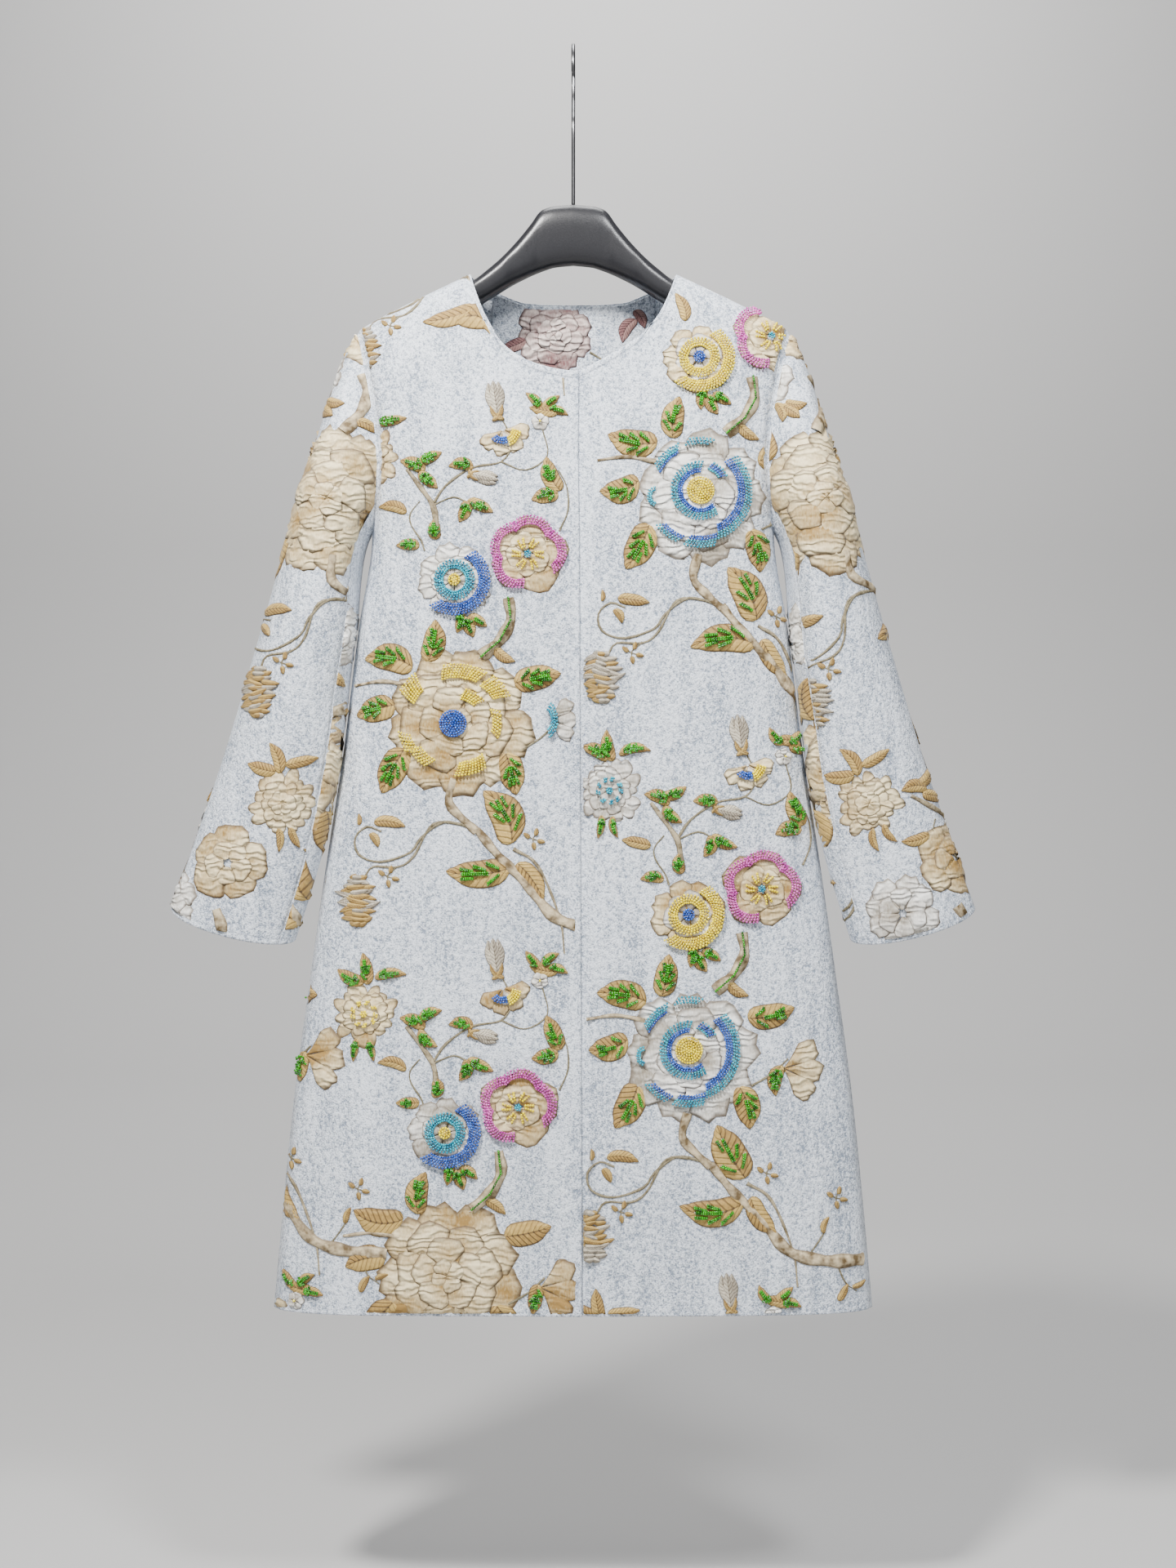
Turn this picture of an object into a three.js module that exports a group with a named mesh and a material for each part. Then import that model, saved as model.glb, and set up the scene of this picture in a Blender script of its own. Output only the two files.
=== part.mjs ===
// Collarless A-line coat on a hanger, built as the pieces that a maker cuts and sews.
// Millimetres, +Z up. The front faces -Y and the wearer's left is at +X.
// The origin is the inside top of the hook, where a rail holds it.
import * as THREE from "three";

// Cloth
const WALL = 2; // relief jacquard, doubled at its turned edges
const FACING_WALL = 1.2;
const SEAM_GAP = 0.45; // between two pieces that are sewn together
const LAYER_GAP = 0.5; // between two layers that lie on each other

// Coat: every drop is measured down from the shoulder seam at the neck
const HOOK_TO_NECK = 192;
const COAT_LENGTH = 867;
const NECK_HALF = 86.6;
const SHOULDER_HALF = 180;
const SHOULDER_DROP = 46;
const UNDERARM_DROP = 219;
const FRONT_EDGE = 5.5; // the top front's edge, past the middle
const UNDERLAP = 38; // how far the other front runs below it
const UNDERLAP_LOWER = 1.5; // how much lower than the top front its neck edge lies there
const LAP_RAMP = 16; // width in which the lower front comes up again beside the edge
const FACING_DEPTH = 76;
const FACING_GAP = 0.9;
const FACING_HALF = 70;
const SHOULDER_REACH = 75; // drop in which the cloth rounds off the hanger to its full depth
const SHOULDER_ROUND = 2.2; // exponent of that rounding
const CORNER = 3.6; // exponent of the body's section: a flat front with quick sides
const SIDE_SEAM = 8.7; // angle of the side seam on the section, just in front of the side
const LOWER_ROWS = 22; // rows of points from underarm to hem

// Hook
const HOOK_WIRE = 1.6; // radius
const HOOK_INSIDE = 20; // radius of the loop's inside
const HOOK_BEND_DROP = 66; // where the straight stem begins
const HOOK_TIP_TURN = 25; // degrees that the loop runs past its level side
const HOOK_STEPS = 36;
const HOOK_SIDES = 8;

// A table with named columns: the names once, then a row for each section.
function table(names, rows) {
  const keys = names.split(" ");
  return rows.map((row) => Object.fromEntries(keys.map((key, i) => [key, row[i]])));
}

// Half width of the body and how far its front and back stand from the middle, by drop.
const BODY = table("drop half front back", [
  [-60, 180, 42, 38],
  [46, 180, 43, 39],
  [80, 181, 47, 42],
  [133, 179, 54, 47],
  [160, 176.5, 56, 49],
  [190, 172.5, 57.5, 50],
  [219, 169, 58, 50.5],
  [303, 181, 57, 50],
  [407, 194, 55, 49],
  [484, 206, 54, 49],
  [581, 220, 54, 50],
  [700, 236, 55, 52],
  [900, 255, 56, 54],
]);

// Angles of the armhole's front and back edges on the section, by drop.
const ARMHOLE = table("drop front back", [
  [46, 0, 0],
  [49, 9, -8],
  [54, 14, -12],
  [62, 19, -16],
  [76, 24.5, -21],
  [96, 29, -26],
  [122, 33, -30],
  [150, 34, -32],
  [178, 30, -29.5],
  [198, 22.5, -22],
  [212, 15, -9],
  [219, SIDE_SEAM, SIDE_SEAM],
]);

// Drop of the neck edge by distance from the middle, for each piece that has one.
const NECKLINE = table("out right left back", [
  [0, 89, 89, 18],
  [16, 86.5, 83, 18],
  [40.3, 78.5, 69, 17],
  [60.7, 62.5, 54, 11],
  [73.5, 39.5, 36, 5.5],
  [84.2, 9.5, 9.5, 1],
  [NECK_HALF, 0, 0, 0],
]);

// Drop of the shoulder seam by distance from the middle; inside the neck it runs on in the air.
const SHOULDER = table("out drop", [
  [0, -37],
  [NECK_HALF, 0],
  [120, 15.5],
  [150, 30],
  [170, 40.4],
  [SHOULDER_HALF, SHOULDER_DROP],
]);

// Sleeve: outer and inner edge seen from the front, half depth, how far its middle hangs forward,
// how much of the armhole's own shape is left, and how much lower the ring's front lies.
const SLEEVE = table("outerX outerDrop innerX innerDrop depth forward armhole tilt", [
  [180, 46, 167.9, 219, 0, 0, 1, 0],
  [189, 60, 171, 225, 50, 3, 0.72, 0],
  [197, 80, 174, 232, 52, 5, 0.46, 0],
  [207, 112, 177, 246, 54, 8, 0.22, 0],
  [218, 150, 179, 265, 54, 11, 0.07, 0],
  [230, 190, 180.5, 289, 52, 14, 0, 1],
  [243, 237, 183.7, 316, 49, 17, 0, 2],
  [256, 284, 187.2, 345, 46, 19, 0, 3],
  [270, 333, 190.5, 376, 42, 21, 0, 4],
  [283, 378, 194.5, 409, 38, 23, 0, 5],
  [296, 420, 200, 445, 34.5, 24, 0, 6],
  [309, 458, 208, 483, 31.5, 25, 0, 8],
  [322, 496, 219, 522, 29, 26, 0, 9],
  [335, 533, 231, 559, 27, 27, 0, 10],
]);
const SLEEVE_RINGS = 15;
const FRONT_SLEEVE_SEAM = 9; // rows of ARMHOLE where the two sleeve pieces meet
const BACK_SLEEVE_SEAM = 7;

// Hanger: top and bottom drop and half thickness, by distance from the middle.
const HANGER = table("out top bottom half", [
  [0, -59.3, -8.3, 11],
  [16, -58, -6.6, 11],
  [25, -55.5, -3.8, 11],
  [29, -52.5, -2.3, 11],
  [35, -44, 0.2, 11.5],
  [42, -35, 3.5, 12],
  [50, -25.5, 7.5, 12.5],
  [60, -15, 13.3, 13.5],
  [72, -4.5, 20.8, 13.5],
  [84, 4.6, 27.7, 14.5],
  [100, 10.8, 35.5, 16.5],
  [120, 19.8, 44.5, 16.5],
  [140, 29.4, 52.5, 15.5],
  [152, 35.6, 56, 13.5],
  [158, 39.5, 55.5, 10],
  [161, 43, 52, 5],
]);
const HANGER_SQUARENESS = 2.7;
const HANGER_SIDES = 14;

// Large raised flowers in the relief cloth, by panel: middle, radius and height.
const RAISED = {
  front_right: table("x drop radius height", [
    [-95, 379, 62, 2.4],
    [-98, 792, 62, 2.4],
  ]),
  front_left: table("x drop radius height", [
    [106, 195, 54, 2.4],
    [96, 654, 56, 2.4],
  ]),
  back: table("x drop radius height", [
    [-95, 210, 60, 2.4],
    [96, 330, 62, 2.4],
    [-110, 640, 64, 2.4],
    [105, 740, 62, 2.4],
  ]),
};

// Where the columns of points start on the top edge, measured from the middle.
const NECK_COLUMNS = [20, 42, 62, 74, 81, 84.6, NECK_HALF];
const SHOULDER_COLUMNS = [103, 121, 138, 152, 163, 172.5, 178.5, SHOULDER_HALF];

const radians = THREE.MathUtils.degToRad;
const smoothstep = THREE.MathUtils.smoothstep;

// Reads one column of a table at a place along another, without overshoot between rows.
function read(rows, from, to, at) {
  const last = rows.length - 1;
  if (at <= rows[0][from]) return rows[0][to];
  if (at >= rows[last][from]) return rows[last][to];
  let i = 0;
  while (rows[i + 1][from] < at) i += 1;
  const slope = (k) => (rows[k + 1][to] - rows[k][to]) / (rows[k + 1][from] - rows[k][from]);
  const tangent = (k) => {
    if (k === 0) return slope(0);
    if (k === last) return slope(last - 1);
    const before = slope(k - 1);
    const after = slope(k);
    return before * after <= 0 ? 0 : (2 * before * after) / (before + after);
  };
  const span = rows[i + 1][from] - rows[i][from];
  const u = (at - rows[i][from]) / span;
  const rise = rows[i + 1][to] - rows[i][to];
  const start = span * tangent(i);
  const end = span * tangent(i + 1);
  return rows[i][to] + u * (start + u * (3 * rise - 2 * start - end + u * (start + end - 2 * rise)));
}

// A power that keeps the sign, for rounded-square sections.
function signedPower(value, exponent) {
  return Math.sign(value) * Math.pow(Math.abs(value), exponent);
}

function shoulderDrop(out) {
  return read(SHOULDER, "out", "drop", out);
}

// How much of the body's full depth the cloth has reached at a drop below the shoulder line.
function shoulderRounding(below) {
  if (below <= 0) return 0;
  const left = 1 - Math.min(below / SHOULDER_REACH, 1);
  return Math.pow(1 - Math.pow(left, SHOULDER_ROUND), 1 / SHOULDER_ROUND);
}

// The body's outside: 0 degrees is the wearer's left side, 90 the front and -90 the back.
function bodyPoint(degrees, drop) {
  const cos = Math.cos(radians(degrees));
  const sin = Math.sin(radians(degrees));
  const x = read(BODY, "drop", "half", drop) * signedPower(cos, 2 / CORNER);
  const depth = read(BODY, "drop", sin > 0 ? "front" : "back", drop);
  const reached = shoulderRounding(drop - shoulderDrop(Math.abs(x)));
  const y = -depth * reached * signedPower(sin, 2 / CORNER);
  return new THREE.Vector3(x, y, -HOOK_TO_NECK - drop);
}

// The way out of the body's cloth at a point.
function bodyNormal(degrees, drop) {
  const point = bodyPoint(degrees, drop);
  const out = Math.abs(point.x);
  if (drop - shoulderDrop(out) < 0.3) {
    const slope = (shoulderDrop(out + 1) - shoulderDrop(out - 1)) / 2 || 0.5;
    return new THREE.Vector3(Math.sign(point.x) * slope, 0, 1).normalize();
  }
  const across = bodyPoint(degrees + 0.05, drop).sub(bodyPoint(degrees - 0.05, drop));
  const down = bodyPoint(degrees, drop + 0.1).sub(bodyPoint(degrees, drop - 0.1));
  return across.cross(down).normalize();
}

// A column's share of the way from the middle of its panel to the panel's side edge.
function columnShare(out) {
  const angle = Math.acos(signedPower(out / SHOULDER_HALF, CORNER / 2));
  return 1 - angle / (Math.PI / 2);
}

function edgeAngle(face, drop) {
  return read(ARMHOLE, "drop", face, drop);
}

// Angle on the section of a point of a panel on the wearer's left half.
function panelAngle(face, share, drop) {
  const edge = edgeAngle(face, drop);
  return face === "front" ? 90 - (90 - edge) * share : -90 + (90 + edge) * share;
}

// Drop of a piece's neck edge; the underlap stays just below the edge of the front on top of it.
function neckDrop(piece, x) {
  const hidden = piece === "left" && x < FRONT_EDGE;
  const drop = read(NECKLINE, "out", hidden ? "right" : piece, Math.abs(x));
  return hidden ? drop + UNDERLAP_LOWER : drop;
}

// Drop of a column's top end, on the neck edge or the shoulder seam.
function topDrop(face, share, neck) {
  let high = -20;
  let low = 130;
  for (let step = 0; step < 40; step += 1) {
    const middle = (high + low) / 2;
    const { x } = bodyPoint(panelAngle(face, share, middle), middle);
    const edge = Math.abs(x) < NECK_HALF ? neckDrop(neck, x) : shoulderDrop(Math.abs(x));
    if (middle < edge) high = middle;
    else low = middle;
  }
  return (high + low) / 2;
}

// Drops of a column's points: the armhole's rows from its own top, then even rows to the hem.
function columnDrops(top) {
  const upper = ARMHOLE.map((row) => {
    const share = (row.drop - SHOULDER_DROP) / (UNDERARM_DROP - SHOULDER_DROP);
    return top + (UNDERARM_DROP - top) * share;
  });
  const lower = [];
  for (let row = 1; row <= LOWER_ROWS; row += 1) {
    lower.push(UNDERARM_DROP + ((COAT_LENGTH - UNDERARM_DROP) * row) / LOWER_ROWS);
  }
  return [...upper, ...lower];
}

// Direction in which a seam's two walls are both given their thickness, so that they meet in a
// mitre where they bend away and each keeps its own where they fold back on each other.
function mitre(own, other) {
  const share = THREE.MathUtils.clamp((own.dot(other) + 0.1) / 0.6, 0, 1);
  const shared = own.clone().addScaledVector(other, share).normalize();
  return shared.divideScalar(Math.max(shared.dot(own), 0.75));
}

// One ring of the left sleeve, as a closed loop from the shoulder over the front and back again.
function sleeveRing(share) {
  const at = share * (SLEEVE.length - 1);
  const rows = SLEEVE.map((row, index) => ({ ...row, index }));
  const value = (name) => read(rows, "index", name, at);
  const ring = (face, row) => {
    const along = (row.drop - SHOULDER_DROP) / (UNDERARM_DROP - SHOULDER_DROP);
    const sine = Math.sqrt(Math.max(0, 4 * along * (1 - along)));
    const way = face === "front" ? -1 : 1;
    const seam = bodyPoint(row[face], row.drop);
    const straight = SLEEVE[0].outerX + (SLEEVE[0].innerX - SLEEVE[0].outerX) * along;
    const kept = value("armhole");
    const x = THREE.MathUtils.lerp(value("outerX"), value("innerX"), along) + kept * (seam.x - straight);
    const y = THREE.MathUtils.lerp(way * value("depth") * sine - value("forward"), seam.y, kept);
    const drop = THREE.MathUtils.lerp(value("outerDrop"), value("innerDrop"), along);
    return new THREE.Vector3(x, y, -HOOK_TO_NECK - drop + way * value("tilt") * sine);
  };
  const front = ARMHOLE.map((row) => ring("front", row));
  const back = ARMHOLE.slice(1, -1).map((row) => ring("back", row));
  return [...front, ...back.reverse()];
}

// Normals of a grid whose rows are closed loops.
function loopNormals(rings) {
  const count = rings[0].length;
  return rings.map((ring, i) => {
    const above = rings[Math.max(i - 1, 0)];
    const below = rings[Math.min(i + 1, rings.length - 1)];
    return ring.map((point, j) => {
      const around = ring[(j + 1) % count].clone().sub(ring[(j + count - 1) % count]);
      return around.cross(below[j].clone().sub(above[j])).normalize();
    });
  });
}

// The left sleeve's rings and the directions of its wall, mitred to the body at the armhole.
function sleeveTube() {
  const rings = [];
  for (let i = 0; i <= SLEEVE_RINGS; i += 1) rings.push(sleeveRing(i / SLEEVE_RINGS));
  const normals = loopNormals(rings);
  const body = armholeBodyNormals();
  const seam = normals[0].map((own, j) => ({ sleeve: mitre(own, body[j]), body: mitre(body[j], own) }));
  normals[0] = seam.map((pair) => pair.sleeve);
  return { rings, normals, seam };
}

function armholeBodyNormals() {
  const front = ARMHOLE.map((row) => bodyNormal(row.front, row.drop));
  const back = ARMHOLE.slice(1, -1).map((row) => bodyNormal(row.back, row.drop));
  return [...front, ...back.reverse()];
}

const leftSleeve = sleeveTube();

// Direction of the body's wall at a row of the armhole.
function armholeDirection(face, row) {
  const count = leftSleeve.seam.length;
  const index = face === "front" || row === 0 ? row : count - row;
  return leftSleeve.seam[index].body;
}

// Height of the raised flowers at a point of a panel.
function raisedHeight(flowers, x, drop) {
  let height = 0;
  for (const flower of flowers) {
    const across = x - flower.x;
    const down = drop - flower.drop;
    const petals = 1 + 0.12 * Math.cos(5 * Math.atan2(down, across));
    const away = Math.hypot(across, down) / (flower.radius * petals);
    height = Math.max(height, flower.height * (1 - smoothstep(away, 0.6, 1)));
  }
  return height;
}

// How far the lower front lies below the top one at a point near the edge.
function lapSink(x, drop) {
  const edge = (FRONT_EDGE * read(BODY, "drop", "half", drop)) / SHOULDER_HALF;
  return (WALL + LAYER_GAP) * (1 - smoothstep(x - edge, LAP_RAMP * 0.1, LAP_RAMP));
}

// One column of a body panel: the wall's outer and inner points from its top edge to the hem.
function bodyColumn(face, neck, out, side, shape) {
  const share = columnShare(out);
  const top = topDrop(face, share, neck);
  return columnDrops(top).map((drop, row) => {
    const degrees = panelAngle(face, share, drop);
    const atArmhole = out === SHOULDER_HALF && row < ARMHOLE.length - 1;
    const way = atArmhole ? armholeDirection(face, row) : bodyNormal(degrees, drop);
    const sink = shape.sink(degrees, drop);
    const point = bodyPoint(degrees, drop).addScaledVector(way, -sink);
    const wall = {
      outer: point.clone(),
      inner: point.clone().addScaledVector(way, -WALL),
      way: way.clone(),
      drop,
      open: 1 - sink / (WALL + LAYER_GAP),
    };
    for (const key of ["outer", "inner", "way"]) wall[key].x *= side;
    return wall;
  });
}

// Moves a grid's edges in by half a seam gap, and raises its flowers away from those edges.
function finishPanel(grid, flowers) {
  const columns = grid.length;
  const rows = grid[0].length;
  const outerAt = (i, j) => {
    const column = grid[THREE.MathUtils.clamp(i, 0, columns - 1)];
    return column[THREE.MathUtils.clamp(j, 0, rows - 1)].outer;
  };
  const pulled = grid.map((column, i) =>
    column.map((point, j) => {
      const shift = new THREE.Vector3();
      const towards = (other, before, after) => {
        const edge = after.clone().sub(before).normalize();
        const way = other.clone().sub(point.outer);
        way.addScaledVector(edge, -way.dot(edge)).normalize();
        shift.addScaledVector(way, SEAM_GAP / 2);
      };
      if (i === 0) towards(outerAt(1, j), outerAt(0, j - 1), outerAt(0, j + 1));
      if (i === columns - 1) towards(outerAt(i - 1, j), outerAt(i, j - 1), outerAt(i, j + 1));
      if (j === 0) towards(outerAt(i, 1), outerAt(i - 1, 0), outerAt(i + 1, 0));
      if (j === rows - 1) towards(outerAt(i, j - 1), outerAt(i - 1, j), outerAt(i + 1, j));
      return shift;
    }),
  );
  grid.forEach((column, i) =>
    column.forEach((point, j) => {
      const inside = i > 0 && i < columns - 1 && j > 0 && j < rows - 1;
      const height = inside ? point.open * raisedHeight(flowers, point.outer.x, point.drop) : 0;
      point.outer.add(pulled[i][j]).addScaledVector(point.way, height);
      point.inner.add(pulled[i][j]);
    }),
  );
  return grid;
}

// A closed wall from a grid of outer and inner points.
function wallGeometry(grid) {
  const columns = grid.length;
  const rows = grid[0].length;
  const positions = [];
  for (const key of ["outer", "inner"]) {
    for (const column of grid) {
      for (const point of column) positions.push(...point[key].toArray());
    }
  }
  const inside = columns * rows;
  const at = (i, j) => i * rows + j;
  const index = [];
  const quad = (a, b, c, d) => index.push(a, b, c, a, c, d);
  for (let i = 0; i < columns - 1; i += 1) {
    for (let j = 0; j < rows - 1; j += 1) {
      quad(at(i, j), at(i, j + 1), at(i + 1, j + 1), at(i + 1, j));
      quad(inside + at(i, j), inside + at(i + 1, j), inside + at(i + 1, j + 1), inside + at(i, j + 1));
    }
  }
  const rim = [];
  for (let i = 0; i < columns - 1; i += 1) rim.push(at(i, 0));
  for (let j = 0; j < rows - 1; j += 1) rim.push(at(columns - 1, j));
  for (let i = columns - 1; i > 0; i -= 1) rim.push(at(i, rows - 1));
  for (let j = rows - 1; j > 0; j -= 1) rim.push(at(0, j));
  const corner = (k) => new THREE.Vector3().fromArray(positions, 3 * k);
  rim.forEach((here, k) => {
    const next = rim[(k + 1) % rim.length];
    const across = corner(here).distanceTo(corner(inside + next));
    const other = corner(next).distanceTo(corner(inside + here));
    if (across < other) quad(here, next, inside + next, inside + here);
    else quad(next, inside + next, inside + here, here);
  });
  return outwardGeometry(positions, index);
}

// A geometry whose faces all point out, whichever way its index was made.
function outwardGeometry(positions, index) {
  const corner = (k) => new THREE.Vector3().fromArray(positions, 3 * index[k]);
  let volume = 0;
  for (let k = 0; k < index.length; k += 3) {
    volume += corner(k).dot(corner(k + 1).cross(corner(k + 2)));
  }
  if (volume < 0) index.reverse();
  const geometry = new THREE.BufferGeometry();
  geometry.setAttribute("position", new THREE.Float32BufferAttribute(positions, 3));
  geometry.setIndex(index);
  geometry.computeVertexNormals();
  return geometry;
}

const flat = { sink: () => 0 };
const lapped = { sink: (degrees, drop) => lapSink(bodyPoint(degrees, drop).x, drop) };

function frontRight() {
  const columns = [-FRONT_EDGE, ...NECK_COLUMNS, ...SHOULDER_COLUMNS];
  const grid = columns.map((out) => bodyColumn("front", "right", out, -1, flat));
  return wallGeometry(finishPanel(grid, RAISED.front_right));
}

function frontLeft() {
  const hidden = FRONT_EDGE - UNDERLAP;
  const columns = [hidden, hidden / 2, 0, 7, ...NECK_COLUMNS, ...SHOULDER_COLUMNS];
  const grid = columns.map((out) => bodyColumn("front", "left", out, 1, lapped));
  return wallGeometry(finishPanel(grid, RAISED.front_left));
}

function back() {
  const half = [...NECK_COLUMNS, ...SHOULDER_COLUMNS];
  const left = [...half].reverse().map((out) => bodyColumn("back", "back", out, 1, flat));
  const middle = [bodyColumn("back", "back", 0, 1, flat)];
  const right = half.map((out) => bodyColumn("back", "back", out, -1, flat));
  return wallGeometry(finishPanel([...left, ...middle, ...right], RAISED.back));
}

// The facing lies on the inside of the back, from the neck edge down.
function backNeckFacing() {
  const outs = [FACING_HALF, 62, 42, 20, 0];
  const column = (out, side) => {
    const share = columnShare(out);
    const top = topDrop("back", share, "back") + 1.5;
    const drops = [0, 0.12, 0.3, 0.52, 0.76, 1].map((t) => top + (FACING_DEPTH - 8 * (out / FACING_HALF)) * t);
    return drops.map((drop) => {
      const degrees = panelAngle("back", share, drop);
      const way = bodyNormal(degrees, drop);
      const point = bodyPoint(degrees, drop).addScaledVector(way, -WALL - FACING_GAP);
      const wall = { outer: point.clone(), inner: point.clone().addScaledVector(way, -FACING_WALL) };
      for (const key of ["outer", "inner"]) wall[key].x *= side;
      return wall;
    });
  };
  const left = outs.map((out) => column(out, 1));
  const right = outs.slice(0, -1).reverse().map((out) => column(out, -1));
  return wallGeometry([...left, ...right]);
}

// Part of the sleeve's tube between two places on its loop, on one side of the coat.
function sleevePiece(side, first, count) {
  const { rings, normals } = leftSleeve;
  const around = rings[0].length;
  const grid = [];
  for (let k = 0; k <= count; k += 1) {
    const j = (first + k + around) % around;
    grid.push(
      rings.map((ring, i) => {
        const wall = {
          outer: ring[j].clone(),
          inner: ring[j].clone().addScaledVector(normals[i][j], -WALL),
          way: normals[i][j].clone(),
          drop: 0,
          open: 1,
        };
        for (const key of ["outer", "inner", "way"]) wall[key].x *= side;
        return wall;
      }),
    );
  }
  return wallGeometry(finishPanel(grid, []));
}

function sleeveUpper(side) {
  return sleevePiece(side, -BACK_SLEEVE_SEAM, BACK_SLEEVE_SEAM + FRONT_SLEEVE_SEAM);
}

function sleeveUnder(side) {
  const around = leftSleeve.rings[0].length;
  return sleevePiece(side, FRONT_SLEEVE_SEAM, around - BACK_SLEEVE_SEAM - FRONT_SLEEVE_SEAM);
}

// The hanger: rounded-square sections from one arm's tip to the other's.
function hangerBody() {
  const stations = [...HANGER.map((row) => -row.out).reverse(), ...HANGER.slice(1).map((row) => row.out)];
  const positions = [];
  for (const x of stations) {
    const value = (name) => read(HANGER, "out", name, Math.abs(x));
    const middle = (value("top") + value("bottom")) / 2;
    const rise = (value("bottom") - value("top")) / 2;
    for (let k = 0; k < HANGER_SIDES; k += 1) {
      const angle = (2 * Math.PI * k) / HANGER_SIDES;
      const y = value("half") * signedPower(Math.cos(angle), 2 / HANGER_SQUARENESS);
      const up = rise * signedPower(Math.sin(angle), 2 / HANGER_SQUARENESS);
      positions.push(x, y, -HOOK_TO_NECK - middle + up);
    }
  }
  const index = [];
  for (let i = 0; i < stations.length - 1; i += 1) {
    for (let k = 0; k < HANGER_SIDES; k += 1) {
      const a = i * HANGER_SIDES + k;
      const b = i * HANGER_SIDES + ((k + 1) % HANGER_SIDES);
      index.push(a, b, b + HANGER_SIDES, a, b + HANGER_SIDES, a + HANGER_SIDES);
    }
  }
  const cap = (start, turned) => {
    for (let k = 1; k < HANGER_SIDES - 1; k += 1) {
      const triangle = [start, start + k + 1, start + k];
      index.push(...(turned ? triangle.reverse() : triangle));
    }
  };
  cap(0, false);
  cap((stations.length - 1) * HANGER_SIDES, true);
  return outwardGeometry(positions, index);
}

// The hook: a stem, a bend to the loop's side and the loop, all in the plane across the hanger.
function hangerHook() {
  const loop = HOOK_INSIDE + HOOK_WIRE;
  const foot = -HOOK_TO_NECK - HANGER[0].top + SEAM_GAP;
  const points = [
    new THREE.Vector3(0, 0, foot),
    new THREE.Vector3(0, 0, (foot - HOOK_BEND_DROP) / 2),
    new THREE.Vector3(0, 0, -HOOK_BEND_DROP),
    new THREE.Vector3(0, loop * 0.35, -HOOK_BEND_DROP + 14),
    new THREE.Vector3(0, loop * 0.84, -HOOK_INSIDE - 16),
  ];
  for (let turn = 0; turn <= 180 + HOOK_TIP_TURN; turn += 22.5) {
    const angle = radians(turn);
    points.push(new THREE.Vector3(0, loop * Math.cos(angle), loop * Math.sin(angle) - HOOK_INSIDE));
  }
  const section = new THREE.Shape();
  section.absarc(0, 0, HOOK_WIRE, 0, 2 * Math.PI, false);
  return new THREE.ExtrudeGeometry(section, {
    steps: HOOK_STEPS,
    curveSegments: HOOK_SIDES / 2,
    bevelEnabled: false,
    extrudePath: new THREE.CatmullRomCurve3(points, false, "centripetal"),
  });
}

const cloth = { color: 0xc9d2dc, roughness: 0.62, metalness: 0 };
const plastic = { color: 0x1b1c1e, roughness: 0.38, metalness: 0 };
const steel = { color: 0x8c8c90, roughness: 0.3, metalness: 1 };

const coat = new THREE.Group();

function add(name, geometry, finish) {
  const mesh = new THREE.Mesh(geometry, new THREE.MeshStandardMaterial(finish));
  mesh.name = name;
  coat.add(mesh);
}

add("front_right", frontRight(), cloth);
add("front_left", frontLeft(), cloth);
add("back", back(), cloth);
add("back_neck_facing", backNeckFacing(), cloth);
for (const [name, side] of [["right", -1], ["left", 1]]) {
  add("sleeve_upper_" + name, sleeveUpper(side), cloth);
  add("sleeve_under_" + name, sleeveUnder(side), cloth);
}
add("hanger_body", hangerBody(), plastic);
add("hanger_hook", hangerHook(), steel);

export default coat;
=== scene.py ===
"""Collarless A-line coat in pale relief jacquard, hand-beaded, on a hanger."""

import math

import bpy
import numpy as np
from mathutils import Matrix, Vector


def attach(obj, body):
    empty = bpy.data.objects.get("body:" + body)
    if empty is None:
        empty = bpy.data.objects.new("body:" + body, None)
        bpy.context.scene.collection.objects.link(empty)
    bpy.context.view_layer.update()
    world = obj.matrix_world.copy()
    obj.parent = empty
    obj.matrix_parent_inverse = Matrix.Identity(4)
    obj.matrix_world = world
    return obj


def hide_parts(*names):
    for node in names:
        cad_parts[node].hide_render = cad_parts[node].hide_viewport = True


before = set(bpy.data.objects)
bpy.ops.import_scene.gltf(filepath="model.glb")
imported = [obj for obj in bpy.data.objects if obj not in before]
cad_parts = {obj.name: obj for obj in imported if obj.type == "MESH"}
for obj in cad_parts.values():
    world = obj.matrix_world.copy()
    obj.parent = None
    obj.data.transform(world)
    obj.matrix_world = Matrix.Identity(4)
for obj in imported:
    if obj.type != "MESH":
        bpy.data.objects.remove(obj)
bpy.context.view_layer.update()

bl_info = {
    "name": "Beaded jacquard coat",
    "version": (1, 0, 0),
    "blender": (4, 5, 0),
    "location": "3D View > Sidebar > Coat",
    "description": "Builds a collarless relief-jacquard coat with beaded flowers on its hanger",
    "category": "Add Mesh",
}

# Lengths below are millimetres; drops are measured down from the shoulder seam at the neck.
HOOK_TO_NECK = 192.0
COAT_LENGTH = 867.0
NECK_HALF = 86.6
SHOULDER_HALF = 180.0
SHOULDER_DROP = 46.0
UNDERARM_DROP = 219.0
FRONT_EDGE = 5.5
UNDERLAP = 38.0
UNDERLAP_LOWER = 1.5
LAP_RAMP = 16.0
LAYER_GAP = 0.5
SEAM_GAP = 0.4
WALL = 2.0
FACING_WALL = 1.2
FACING_GAP = 0.9
FACING_HALF = 70.0
FACING_DEPTH = 76.0
SHOULDER_REACH = 75.0
SHOULDER_ROUND = 2.2
CORNER = 3.6
SIDE_SEAM = 8.7
BEAD_STEP = 2.05
BEAD_ROW_STEP = 2.5
DISC_STEP = 2.1
STRAND_STEP = 1.95
BEADED_FROM, BEADED_TO = 45, 776
METRES = 0.001


def table(names, rows):
    """A table with named columns, as one array for each name."""
    columns = np.array(rows, dtype=float).T
    return dict(zip(names.split(), columns))


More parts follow.
